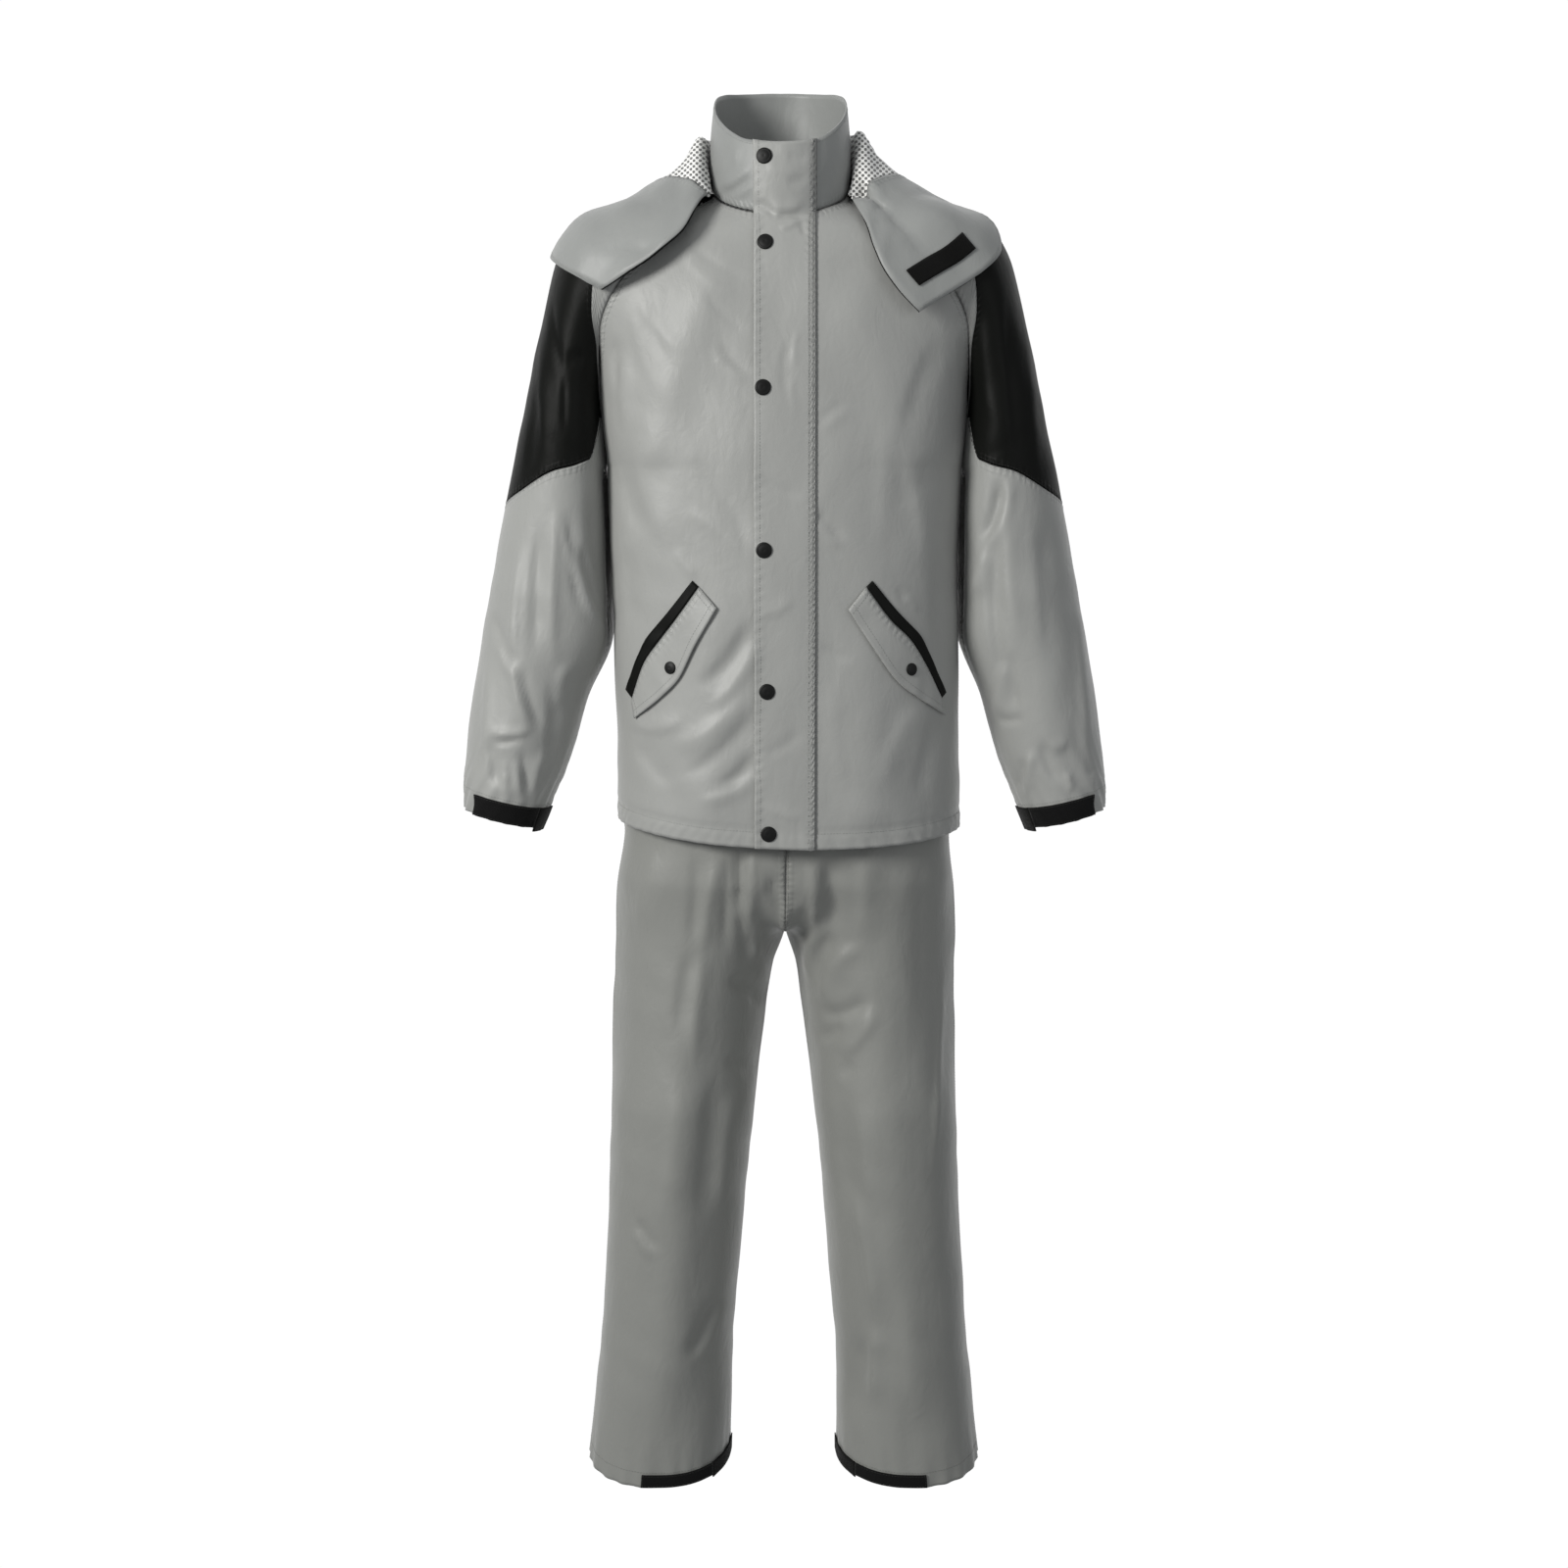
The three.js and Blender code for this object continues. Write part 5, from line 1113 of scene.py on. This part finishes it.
under_a = float(shoulder_side(1.0).a)
beyond = np.linspace(under_a, 1, STRIP_COLUMNS + 1)
sleeve_a = np.concatenate([-beyond[:0:-1], spread * under_a, beyond[1:]])


def sleeve_skins(side):
    """Grey sleeve: the tube below the shoulder piece, and a strip up each raglan seam beside it."""
    start = end_v(np.minimum(1, np.abs(sleeve_a) / under_a))[None]
    second = start + 1 - CORNER
    first_rows = start + (1 - CORNER) * np.arange(CORNER_ROWS + 1)[:, None] / CORNER_ROWS
    rest = second + (CUFF_V - second) * np.arange(1, SLEEVE_ROWS + 1)[:, None] / SLEEVE_ROWS
    v = np.concatenate([first_rows, rest])
    tube = Skin(on_jacket(sleeve_point(np.broadcast_to(sleeve_a, v.shape), v), side), side > 0, "lrb")
    tube.unsewn = {"b": np.abs(sleeve_a) > under_a + 0.001}
    skins = [tube]
    reach = shoulder_side(seam_steps).a
    first = int(np.argmax(reach < 1)) - 1
    for towards in (-1, 1):
        share, v = np.meshgrid(np.arange(STRIP_COLUMNS + 1) / STRIP_COLUMNS, seam_steps[first:])
        a = shoulder_side(v).a
        a = np.where(share == 1, 1.0, a + (1 - a) * share)
        skins.append(Skin(on_jacket(sleeve_point(towards * a, v), side), side * towards > 0, "lr"))
    return skins


def collar_skin():
    degrees, share = np.meshgrid(
        np.linspace(0.3, 359.7, COLLAR_COLUMNS + 1), np.arange(COLLAR_ROWS + 1) / COLLAR_ROWS
    )
    p = neck_point(degrees)
    way = unit(p * np.array([1, 1, 0]))
    p = p + way * (3 * np.sin(np.pi * share) + COLLAR_FLARE * share)[..., None]
    turned = np.where(degrees > 180, 360 - degrees, degrees)
    p[..., 2] += 0.15 + COLLAR_HEIGHT * share + collar_top(turned).rise * share**2
    return Skin(on_jacket(p, 1), False, "b")


front = {"left": front_skin(1), "right": front_skin(-1)}
back = back_skin()
shoulder = {"left": shoulder_skin(1), "right": shoulder_skin(-1)}
sleeve = {"left": sleeve_skins(1), "right": sleeve_skins(-1)}
collar = collar_skin()
body_skins = [front["left"], front["right"], back]
sleeve_all = [*shoulder.values(), *sleeve["left"], *sleeve["right"]]


def gathers(skin, border, depth, pitch, rise):
    """Short folds that run up from a gathered edge."""
    away = skin.to_border(border)
    across = skin.across()
    phase = 2 * np.pi * across / pitch + 1.9 * np.sin(across / 31) + 0.9 * np.sin(across / 13)
    reach = depth * (1 + 0.45 * np.sin(across / 19 + 1))
    return rise * np.sin(phase + 0.012 * away) * np.exp(-away / reach)


def turned_hem(skin):
    """Groove of the hem's stitches, and the small slanted puckers below it."""
    away, across = skin.to_border("b"), skin.across()
    groove = -0.9 * np.exp(-(((away - 19) / 3.5) ** 2))
    slant = np.sin(2 * np.pi * (across + 0.8 * away) / 12 + 1.5 * np.sin(across / 37))
    return groove + 0.4 * slant * smooth(away / 4) * (1 - smooth((away - 14) / 8))


def jacket_shape(skin):
    p, n = skin.points, skin.normals
    if any(skin is one for one in body_skins):
        folds = creases(p, n, FRONT_CREASES, -1) + creases(p, n, turned_over(FRONT_CREASES, 14), 1)
        return folds + gathers(skin, "b", 15, 19, 0.5) + turned_hem(skin)
    shape = creases(p, n, SLEEVE_CREASES, -1) + creases(p, n, turned_over(SLEEVE_CREASES, 10), 1)
    if "t" not in skin.sewn and "b" in skin.sewn:
        shape = shape + gathers(skin, "t", 34, 17, 1.7)
    return shape


raise_skins([*body_skins, *sleeve_all], jacket_shape)
share_normals([collar])
collar_bends = creases(collar.points, collar.normals, COLLAR_CREASES, -1)
collar_bends = collar_bends + creases(collar.points, collar.normals, turned_over(COLLAR_CREASES, 0), 1)
collar_lift = 0.5 * undulation(collar.points * 1.6) + collar_bends
collar.points = collar.points + collar.normals * collar_lift[..., None]
share_normals([collar])

# Storm flap: found on the fronts and the collar, row by row
half = FRONT_COLUMNS // 2
strip = [
    np.concatenate([front["right"].points[j, half:0:-1], front["left"].points[j, :half]])
    for j in range(len(body_v) - 1)
]
quarter = COLLAR_COLUMNS // 4
strip += [np.concatenate([row[-quarter:], row[:quarter]]) for row in collar.points]
flap_x = np.linspace(FLAP_FREE_X, FLAP_SEWN_X, FLAP_COLUMNS + 1)
flap_points = np.array([
    [[x, *(np.interp(x, row[:, 0], row[:, k]) for k in (1, 2))] for x in flap_x] for row in strip
])
for _ in range(2):
    flap_points[1:-1] = (flap_points[:-2] + 2 * flap_points[1:-1] + flap_points[2:]) / 4
flap = facing(Skin(flap_points, False, "r"), np.array([0, -1, 0]))
run = flap.along()
from_free, from_seam = flap_x - FLAP_FREE_X, FLAP_SEWN_X - flap_x
lift = 1.9 + 0.9 * smooth(from_seam / 7)
lift = lift + 0.7 * np.exp(-from_free / 5) * (1 + np.sin(run / 27 + 1.4 * np.sin(run / 61)))
seam_puckers = np.sin(2 * np.pi * (run + 0.7 * flap_x) / 8.6)
lift = lift + 1.25 * np.exp(-(((from_seam - 5.5) / 4.0) ** 2)) * seam_puckers
lift = lift + 0.7 * np.exp(-(((from_free - 5) / 4.5) ** 2)) * np.sin(2 * np.pi * (run - 0.5 * flap_x) / 10.5)
lift = lift + creases(flap.points, flap.normals, FLAP_CREASES, -1)
flap.points = flap.points + flap.normals * lift[..., None]
share_normals([flap])
flap_tree = surface_of([flap])
front_tree = surface_of([front["left"], front["right"]])

# Pockets
pockets = {}
for side, at in (("right", pocket_right), ("left", pocket_left)):
    rows = [at(4 * j / POCKET_ROWS) for j in range(POCKET_ROWS + 1)]
    fifths = [i / 5 for i in range(6)]
    welt = [
        [(r.weltX + (r.lineX - r.weltX) * s, r.weltZ + (r.lineZ - r.weltZ) * s) for s in fifths] for r in rows
    ]
    shares = [0.02 + 0.98 * i / 14 for i in range(15)]
    cover = [
        [(r.lineX + (r.freeX - r.lineX) * s, r.lineZ + (r.freeZ - r.lineZ) * s) for s in shares] for r in rows
    ]
    down = np.arange(POCKET_ROWS + 1)[:, None]
    welt_lift = np.full((POCKET_ROWS + 1, 6), 1.6) + 0.25 * np.sin(down / 1.7)
    rise = 1.6 + 1.6 * smooth(np.array(shares) / 0.3) + 1.2 * np.array(shares) ** 3
    rise = rise + 0.35 * np.sin(down / 2.1 + 1.5 * np.sin(down / 6)) * np.array(shares)
    outward = np.array([0, -1, 0])
    pockets[side] = (
        facing(laid(front_tree, welt, welt_lift), outward),
        facing(laid(front_tree, cover, rise, sewn="l"), outward),
    )


# Pieces laid along a border of another skin
def band(base, distances, columns, lift):
    """Skin over a base, between distances from its last row and between columns."""
    away = base.to_border("t")
    points, normals = [], []
    for column in columns:
        low_column = min(int(column), away.shape[1] - 2)
        share = column - low_column
        line = away[:, low_column] * (1 - share) + away[:, low_column + 1] * share
        rows = np.interp(np.maximum(distances, 0), line[::-1], np.arange(len(line))[::-1])
        spots, ups = base.at(rows, np.full(len(rows), column))
        inner, _ = base.at(np.interp(3.0, line[::-1], np.arange(len(line))[::-1]), column)
        edge_point, _ = base.at(float(len(line) - 1), column)
        spots = spots + (edge_point - inner) * (np.minimum(distances, 0) / -3)[:, None]
        points.append(spots + ups * lift)
        normals.append(ups)
    points = np.array(points)
    for _ in range(10):
        points[1:-1] = (points[:-2] + 2 * points[1:-1] + points[2:]) / 4
    return facing(Skin(points.transpose(1, 0, 2)), np.array(normals).transpose(1, 0, 2))


tapes = {}
cuff_a = [under_a * sevenths / 7 for sevenths in CUFF_TAPE_SEVENTHS] + [CUFF_TAB_A]
for side in ("right", "left"):
    tube = sleeve[side][0]
    place = np.interp(cuff_a, sleeve_a, np.arange(len(sleeve_a)))
    span = np.linspace(23, 0.5, 9)
    tapes[f"cuff_tape_{side}"] = band(tube, span, np.linspace(place[0], place[1], 36), 2.2)
    tab_span = np.linspace(23, -4, 10)
    tapes[f"cuff_tab_{side}"] = band(tube, tab_span, np.linspace(place[1], place[2], 18), 2.2)

# Trousers
leg_v = np.interp(np.linspace(0, 1, LEG_ROWS + 1), [0, 0.31, 0.43, 1], [0, 1, 1.2, 2.5])
crotch = float(np.interp(1, leg_v, np.linspace(0, 1, LEG_ROWS + 1)))


def leg_skin(point_at, side):
    t, v = np.meshgrid(np.linspace(0, 1, LEG_COLUMNS + 1), leg_v)
    p = point_at(t, v)
    inner = smooth(t / 0.1) * (1 - smooth((t - 0.93) / 0.07))
    level = (smooth((v - 0.78) / 0.12) * smooth((1.4 - v) / 0.2) * inner)[..., None]
    for _ in range(160):
        eased = (p[:-2] + p[2:]) / 4
        eased[:, 1:-1] += (p[1:-1, :-2] + p[1:-1, 2:]) / 4
        p[1:-1, 1:-1] += (eased[:, 1:-1] - p[1:-1, 1:-1]) * level[1:-1, 1:-1]
    return Skin(on_trousers(p, side), (point_at is leg_front) == (side < 0), "lr")


def waistband_skins():
    skins = []
    for point_at, side in ((leg_front, 1), (leg_back, 1), (leg_back, -1), (leg_front, -1)):
        t, share = np.meshgrid(np.linspace(0, 1, 21), np.linspace(0, 1, 7))
        p = on_trousers(point_at(t, np.zeros_like(t)), side)
        p[..., 2] += 40 * share
        skins.append(Skin(p, (point_at is leg_front) == (side > 0), "b"))
    return skins


legs = {
    "front_left": leg_skin(leg_front, 1),
    "front_right": leg_skin(leg_front, -1),
    "back_left": leg_skin(leg_back, 1),
    "back_right": leg_skin(leg_back, -1),
}
for name in ("back_left", "back_right"):
    legs[name].flip = name == "back_left"


def trouser_shape(skin):
    p, n = skin.points, skin.normals
    ahead = creases(p, n, TROUSER_CREASES, -1)
    behind = creases(p, n, turned_over(TROUSER_CREASES, 12), 1)
    return ahead + behind + gathers(skin, "t", 26, 21, 1.1)


raise_skins(list(legs.values()), trouser_shape)
waist = waistband_skins()
share_normals(waist)
for side in ("right", "left"):
    base = legs[f"front_{side}"]
    tape, tab_start, tab_end = (share * LEG_COLUMNS for share in HEM_TAPE_T)
    span, tab_span = np.linspace(15, 0.5, 7), np.linspace(15, -2, 7)
    tapes[f"hem_tape_{side}"] = band(base, span, np.linspace(tape, tab_start, 28), 2.2)
    tapes[f"hem_tab_{side}"] = band(base, tab_span, np.linspace(tab_start, tab_end - 0.1, 18), 2.2)

# Hood, resting on the jacket
net_rows, facing_rows = HOOD_NET_ROWS, HOOD_FACING_ROWS
hood_u = np.linspace(0, 10, HOOD_COLUMNS + 1)
seam_w = facing_seam(hood_u).w
down_net = np.arange(net_rows)[:, None] / net_rows
down_facing = np.arange(facing_rows + 1)[:, None] / facing_rows
hood_w = np.concatenate([seam_w * down_net, seam_w + (1 - seam_w) * down_facing])
hood = Skin(hood_point(np.broadcast_to(hood_u, hood_w.shape), hood_w), False, "b")
jacket_tree = surface_of([*body_skins, *sleeve_all, collar])


def rest_on(tree, point, clearance):
    """Moves a point of the hood out to its clearance from the cloth below."""
    for step in range(3):
        spot, normal, _, away = tree.find_nearest(point)
        height = (point - spot).dot(normal)
        if height >= clearance or (away >= clearance and height > 0):
            return point
        point = spot + normal * (clearance + 0.2 * step)
    return point


grid = hood.points
for j in range(grid.shape[0]):
    for i in range(grid.shape[1]):
        grid[j, i] = rest_on(jacket_tree, Vector(grid[j, i]), HOOD_REST)
for step in range(3):
    for j in range(grid.shape[0] - 1):
        for i in range(grid.shape[1] - 1):
            middle = Vector(grid[j:j + 2, i:i + 2].reshape(4, 3).mean(axis=0))
            spot, normal, _, away = jacket_tree.find_nearest(middle)
            height = (middle - spot).dot(normal)
            if -30 <= height < HOOD_CLEAR and away <= 30:
                grid[j:j + 2, i:i + 2] += np.array(normal) * (HOOD_CLEAR - height + 0.1 * step)
for _ in range(3):
    beside = grid[:-2, 1:-1] + grid[2:, 1:-1] + grid[1:-1, :-2] + grid[1:-1, 2:]
    grid[1:-1, 1:-1] = (beside + 4 * grid[1:-1, 1:-1]) / 8
share_normals([hood])
across, along = hood.across(), hood.along()
soft = 0.9 * (1 + np.sin(across / 23 + 1.2 * np.sin(along / 17)) * np.sin(along / 13 + across / 60))
net_puckers = 1 + np.sin(across / 4.1 + 0.9 * np.sin(across / 17))
soft = soft + 0.22 * net_puckers * np.exp(-((along - along[net_rows]) ** 2) / 60)
hood.points = hood.points + hood.normals * (soft * smooth(along / 12))[..., None]
share_normals([hood])


def hood_layer(first, last, lift, sewn):
    skin = Skin(hood.points[first:last + 1] + hood.normals[first:last + 1] * lift, hood.flip, sewn)
    share_normals([skin])
    return skin


hood_net = hood_layer(0, net_rows, 1.5, "bt")
hood_face = hood_layer(net_rows, net_rows + facing_rows, 2.2, "b")


def hook_tape_skin():
    (u0, f0), (u1, f1) = HOOK_TAPE_ENDS
    share, wide = np.meshgrid(np.linspace(0, 1, 25), np.linspace(0, 1, 9))
    columns = (u0 + (u1 - u0) * share) * HOOD_COLUMNS / 10
    rows = (f0 + (f1 - f0) * share + HOOK_TAPE_WIDTH * wide) * facing_rows
    points, normals = hood_face.at(rows, columns)
    return facing(Skin(points + normals * 1.9), normals)


# Looks of each material
grey_cloth = nylon("jacket_nylon", JACKET_GREY)
# Collar and hood facing: the jacket nylon in a darker grey that is painted shade
shaded_jacket_cloth = nylon("shaded_jacket_nylon", SHADED_JACKET_GREY)
black_cloth = nylon("black_nylon", PANEL_BLACK, rough=0.5, crumple=0.6, sheen=0.0, tone=0.2, gloss=0.1)
# Trouser cloth: the jacket's nylon, with painted shade in its darker grey
shaded_trouser_cloth = nylon("shaded_trouser_nylon", SHADED_TROUSER_GREY, crumple=0.85)
net_cloth = knitted_net("net", NET_GREY)
tape_cloth = napped_tape("tape", TAPE_BLACK, 1.6)
hook_cloth = napped_tape("hook_tape", HOOK_BLACK, 1.1)
stud = hard_shell("snap", SNAP_BLACK)
threads = {
    "grey": (thread("thread_grey", THREAD_GREY), "shell_grey"),
    "black": (thread("thread_black", THREAD_BLACK), "shell_black"),
    "trousers": (thread("thread_trousers", THREAD_TROUSERS), "trouser_grey"),
}

# Cloth pieces
made = {}


def piece(name, skins, material, thickness, slot):
    made[name] = (cloth_mesh(f"cloth_{name}", skins, material, thickness, slot, [name]), skins)


for side in ("left", "right"):
    piece(f"front_{side}", [front[side]], grey_cloth, 1.5, "shell_grey")
    piece(f"sleeve_shoulder_{side}", [shoulder[side]], black_cloth, 1.5, "shell_black")
    piece(f"sleeve_lower_{side}", sleeve[side], grey_cloth, 1.5, "shell_grey")
    piece(f"pocket_welt_{side}", [pockets[side][0]], black_cloth, 1.0, "shell_black")
    piece(f"pocket_flap_{side}", [pockets[side][1]], grey_cloth, 1.6, "shell_grey")
    for which in ("front", "back"):
        piece(f"trouser_{which}_{side}", [legs[f"{which}_{side}"]], shaded_trouser_cloth, 1.5, "trouser_grey")
    for which, material, slot in (("tape", tape_cloth, "tape"), ("tab", hook_cloth, "hook_tape")):
        for at in ("cuff", "hem"):
            piece(f"{at}_{which}_{side}", [tapes[f"{at}_{which}_{side}"]], material, 1.3, slot)
piece("back", [back], grey_cloth, 1.5, "shell_grey")
piece("collar", [collar], shaded_jacket_cloth, 1.8, "shell_grey")
piece("storm_flap", [flap], grey_cloth, 1.8, "shell_grey")
piece("hood_shell", [hood], black_cloth, 1.2, "shell_black")
piece("hood_net", [hood_net], net_cloth, 0.9, "net")
piece("hood_facing", [hood_face], shaded_jacket_cloth, 1.0, "shell_grey")
piece("hood_hook_tape", [hook_tape_skin()], hook_cloth, 1.2, "hook_tape")
piece("waistband", waist, shaded_trouser_cloth, 2.0, "trouser_grey")

# Stitching
for side in ("left", "right"):
    one = front[side]
    sew("grey", one, "r", 2.2, 6.8, start=RAGLAN_SHARE)
    sew("grey", one, "r", 2.5, stop=RAGLAN_SHARE)
    sew("grey", one, "b", 17)
    sew("grey", sleeve[side][0], "t", 26)
    sew("grey", sleeve[side][0], "b", 2.4)
    sew("black", shoulder[side], "t", 3.0)
    welt, cover = pockets[side]
    sew("grey", cover, "r", 7.5)
    sew("grey", cover, "l", 2.5)
    sew("grey", cover, "b", 6.5)
    sew("grey", cover, "t", 6.5)
    for name, colour in ((f"cuff_tape_{side}", "black"), (f"hem_tape_{side}", "black")):
        for border in "btlr":
            sew(colour, tapes[name], border, 1.6)
    for which in ("front", "back"):
        cloth = legs[f"{which}_{side}"]
        sew("trousers", cloth, "r", 2.2, stop=crotch)
        sew("trousers", cloth, "l", 2.6)
        sew("trousers", cloth, "t", 17)
for border in "lr":
    sew("grey", back, border, 2.2, 6.8, start=RAGLAN_SHARE)
sew("grey", back, "b", 17)
sew("grey", collar, "t", 4)
sew("grey", collar, "b", 3)
sew("grey", flap, "l", 6)
sew("grey", flap, "r", 3.6, 8.2)
sew("grey", hood_face, "b", 2.6)
sew("grey", hood_face, "t", 3.2)
for colour, (material, slot) in threads.items():
    plain_mesh(f"stitching_{colour}", *stitches(lines[colour]), material, slot, smooth_faces=False)


# Press studs
def press_stud(name, tree, x, z, radius):
    """Turned cap with a rolled rim, a ring and a dimple, on the cloth where it is set."""
    middle, normal = hit_from_front(tree, x, z)
    points = [(0, 0, h) for _, h in STUD_PROFILE[-1:]]
    for r, h in STUD_PROFILE[:-1]:
        angles = 2 * np.pi * np.arange(STUD_SIDES) / STUD_SIDES
        points += [(radius * r * math.cos(a), radius * r * math.sin(a), h) for a in angles]
    rings = len(STUD_PROFILE) - 1
    faces = []
    for k in range(STUD_SIDES):
        after = (k + 1) % STUD_SIDES
        for ring in range(rings - 1):
            base, above = 1 + ring * STUD_SIDES, 1 + (ring + 1) * STUD_SIDES
            faces.append((base + k, base + after, above + after, above + k))
        top = 1 + (rings - 1) * STUD_SIDES
        faces.append((top + k, top + after, 0))
    faces.append(tuple(1 + k for k in reversed(range(STUD_SIDES))))
    turn = Vector((0, 0, 1)).rotation_difference(Vector(normal))
    placed = [np.array(turn @ Vector(p)) + middle for p in points]
    plain_mesh(f"stud_{name}", placed, faces, stud, "snap", [name])


for name, x, z in FRONT_SNAPS:
    press_stud(name, flap_tree, x, z, 8.3)
for side, x, z in POCKET_SNAPS:
    press_stud(f"pocket_snap_{side}", surface_of([pockets[side][1]]), x, z, 6.6)

# Cut of the cloth
def skin_area(skin):
    """Area of a cloth grid, from the diagonals of its cells."""
    rising = skin.points[1:, 1:] - skin.points[:-1, :-1]
    falling = skin.points[1:, :-1] - skin.points[:-1, 1:]
    return 0.5 * float(np.linalg.norm(np.cross(rising, falling), axis=-1).sum())


def flat_size(skins, in_a_ring):
    """Width, length and area of a piece's cut, in metres, its skins side by side when they make a ring."""
    widest = [float(skin.across()[:, -1].max()) for skin in skins]
    width = (sum(widest) if in_a_ring else widest[0]) * MM
    length = float(skins[0].along()[-1].max()) * MM
    area = sum(skin_area(skin) for skin in skins) * MM * MM
    return width, length, min(area, width * length)


for name, (obj, skins) in made.items():
    width, length, area = flat_size(skins, in_a_ring=name == "waistband")

# Backdrop, light and camera
scene = bpy.context.scene


def lamp(name, spot, target, size, power, tint):
    light = bpy.data.lights.new(name, "AREA")
    light.shape = "DISK"
    light.size = size
    light.energy = power
    light.color = tint
    obj = bpy.data.objects.new(name, light)
    obj.location = spot
    obj.rotation_euler = (Vector(target) - Vector(spot)).to_track_quat("-Z", "Y").to_euler()
    scene.collection.objects.link(obj)


lamp("key", (-2.4, -2.4, 0.85), (0, 0, -0.5), 1.3, 118, (1.0, 0.99, 0.97))
lamp("fill", (2.4, -2.4, 0.2), (0, 0, -0.7), 2.2, 12, (0.97, 0.98, 1.0))
lamp("top", (0.2, -0.4, 2.0), (0, 0, -0.2), 1.6, 5, (1.0, 1.0, 1.0))

white = bpy.data.materials.new("backdrop")
white.use_nodes = True
white.node_tree.nodes.clear()
glow = white.node_tree.nodes.new("ShaderNodeEmission")
glow.inputs["Strength"].default_value = 1.02
output = white.node_tree.nodes.new("ShaderNodeOutputMaterial")
white.node_tree.links.new(glow.outputs[0], output.inputs[0])
sheet = bpy.data.meshes.new("backdrop")
sheet.from_pydata([(-6, 5, -6.5), (6, 5, -6.5), (6, 5, 5), (-6, 5, 5)], [], [(0, 1, 2, 3)])
sheet.materials.append(white)
backdrop = bpy.data.objects.new("backdrop", sheet)
scene.collection.objects.link(backdrop)

world = bpy.data.worlds.new("studio")
world.use_nodes = True
world.node_tree.nodes["Background"].inputs["Color"].default_value = (0.95, 0.97, 1.0, 1)
world.node_tree.nodes["Background"].inputs["Strength"].default_value = 0.33
scene.world = world
scene.view_settings.view_transform = "Standard"

camera_data = bpy.data.cameras.new("camera")
camera_data.lens = 57.3
camera_data.sensor_width = 36
camera = bpy.data.objects.new("camera", camera_data)
camera.location = (0, -2.7, -0.263)
camera.rotation_euler = (math.radians(90 - 7.8), 0, 0)
scene.collection.objects.link(camera)
scene.camera = camera
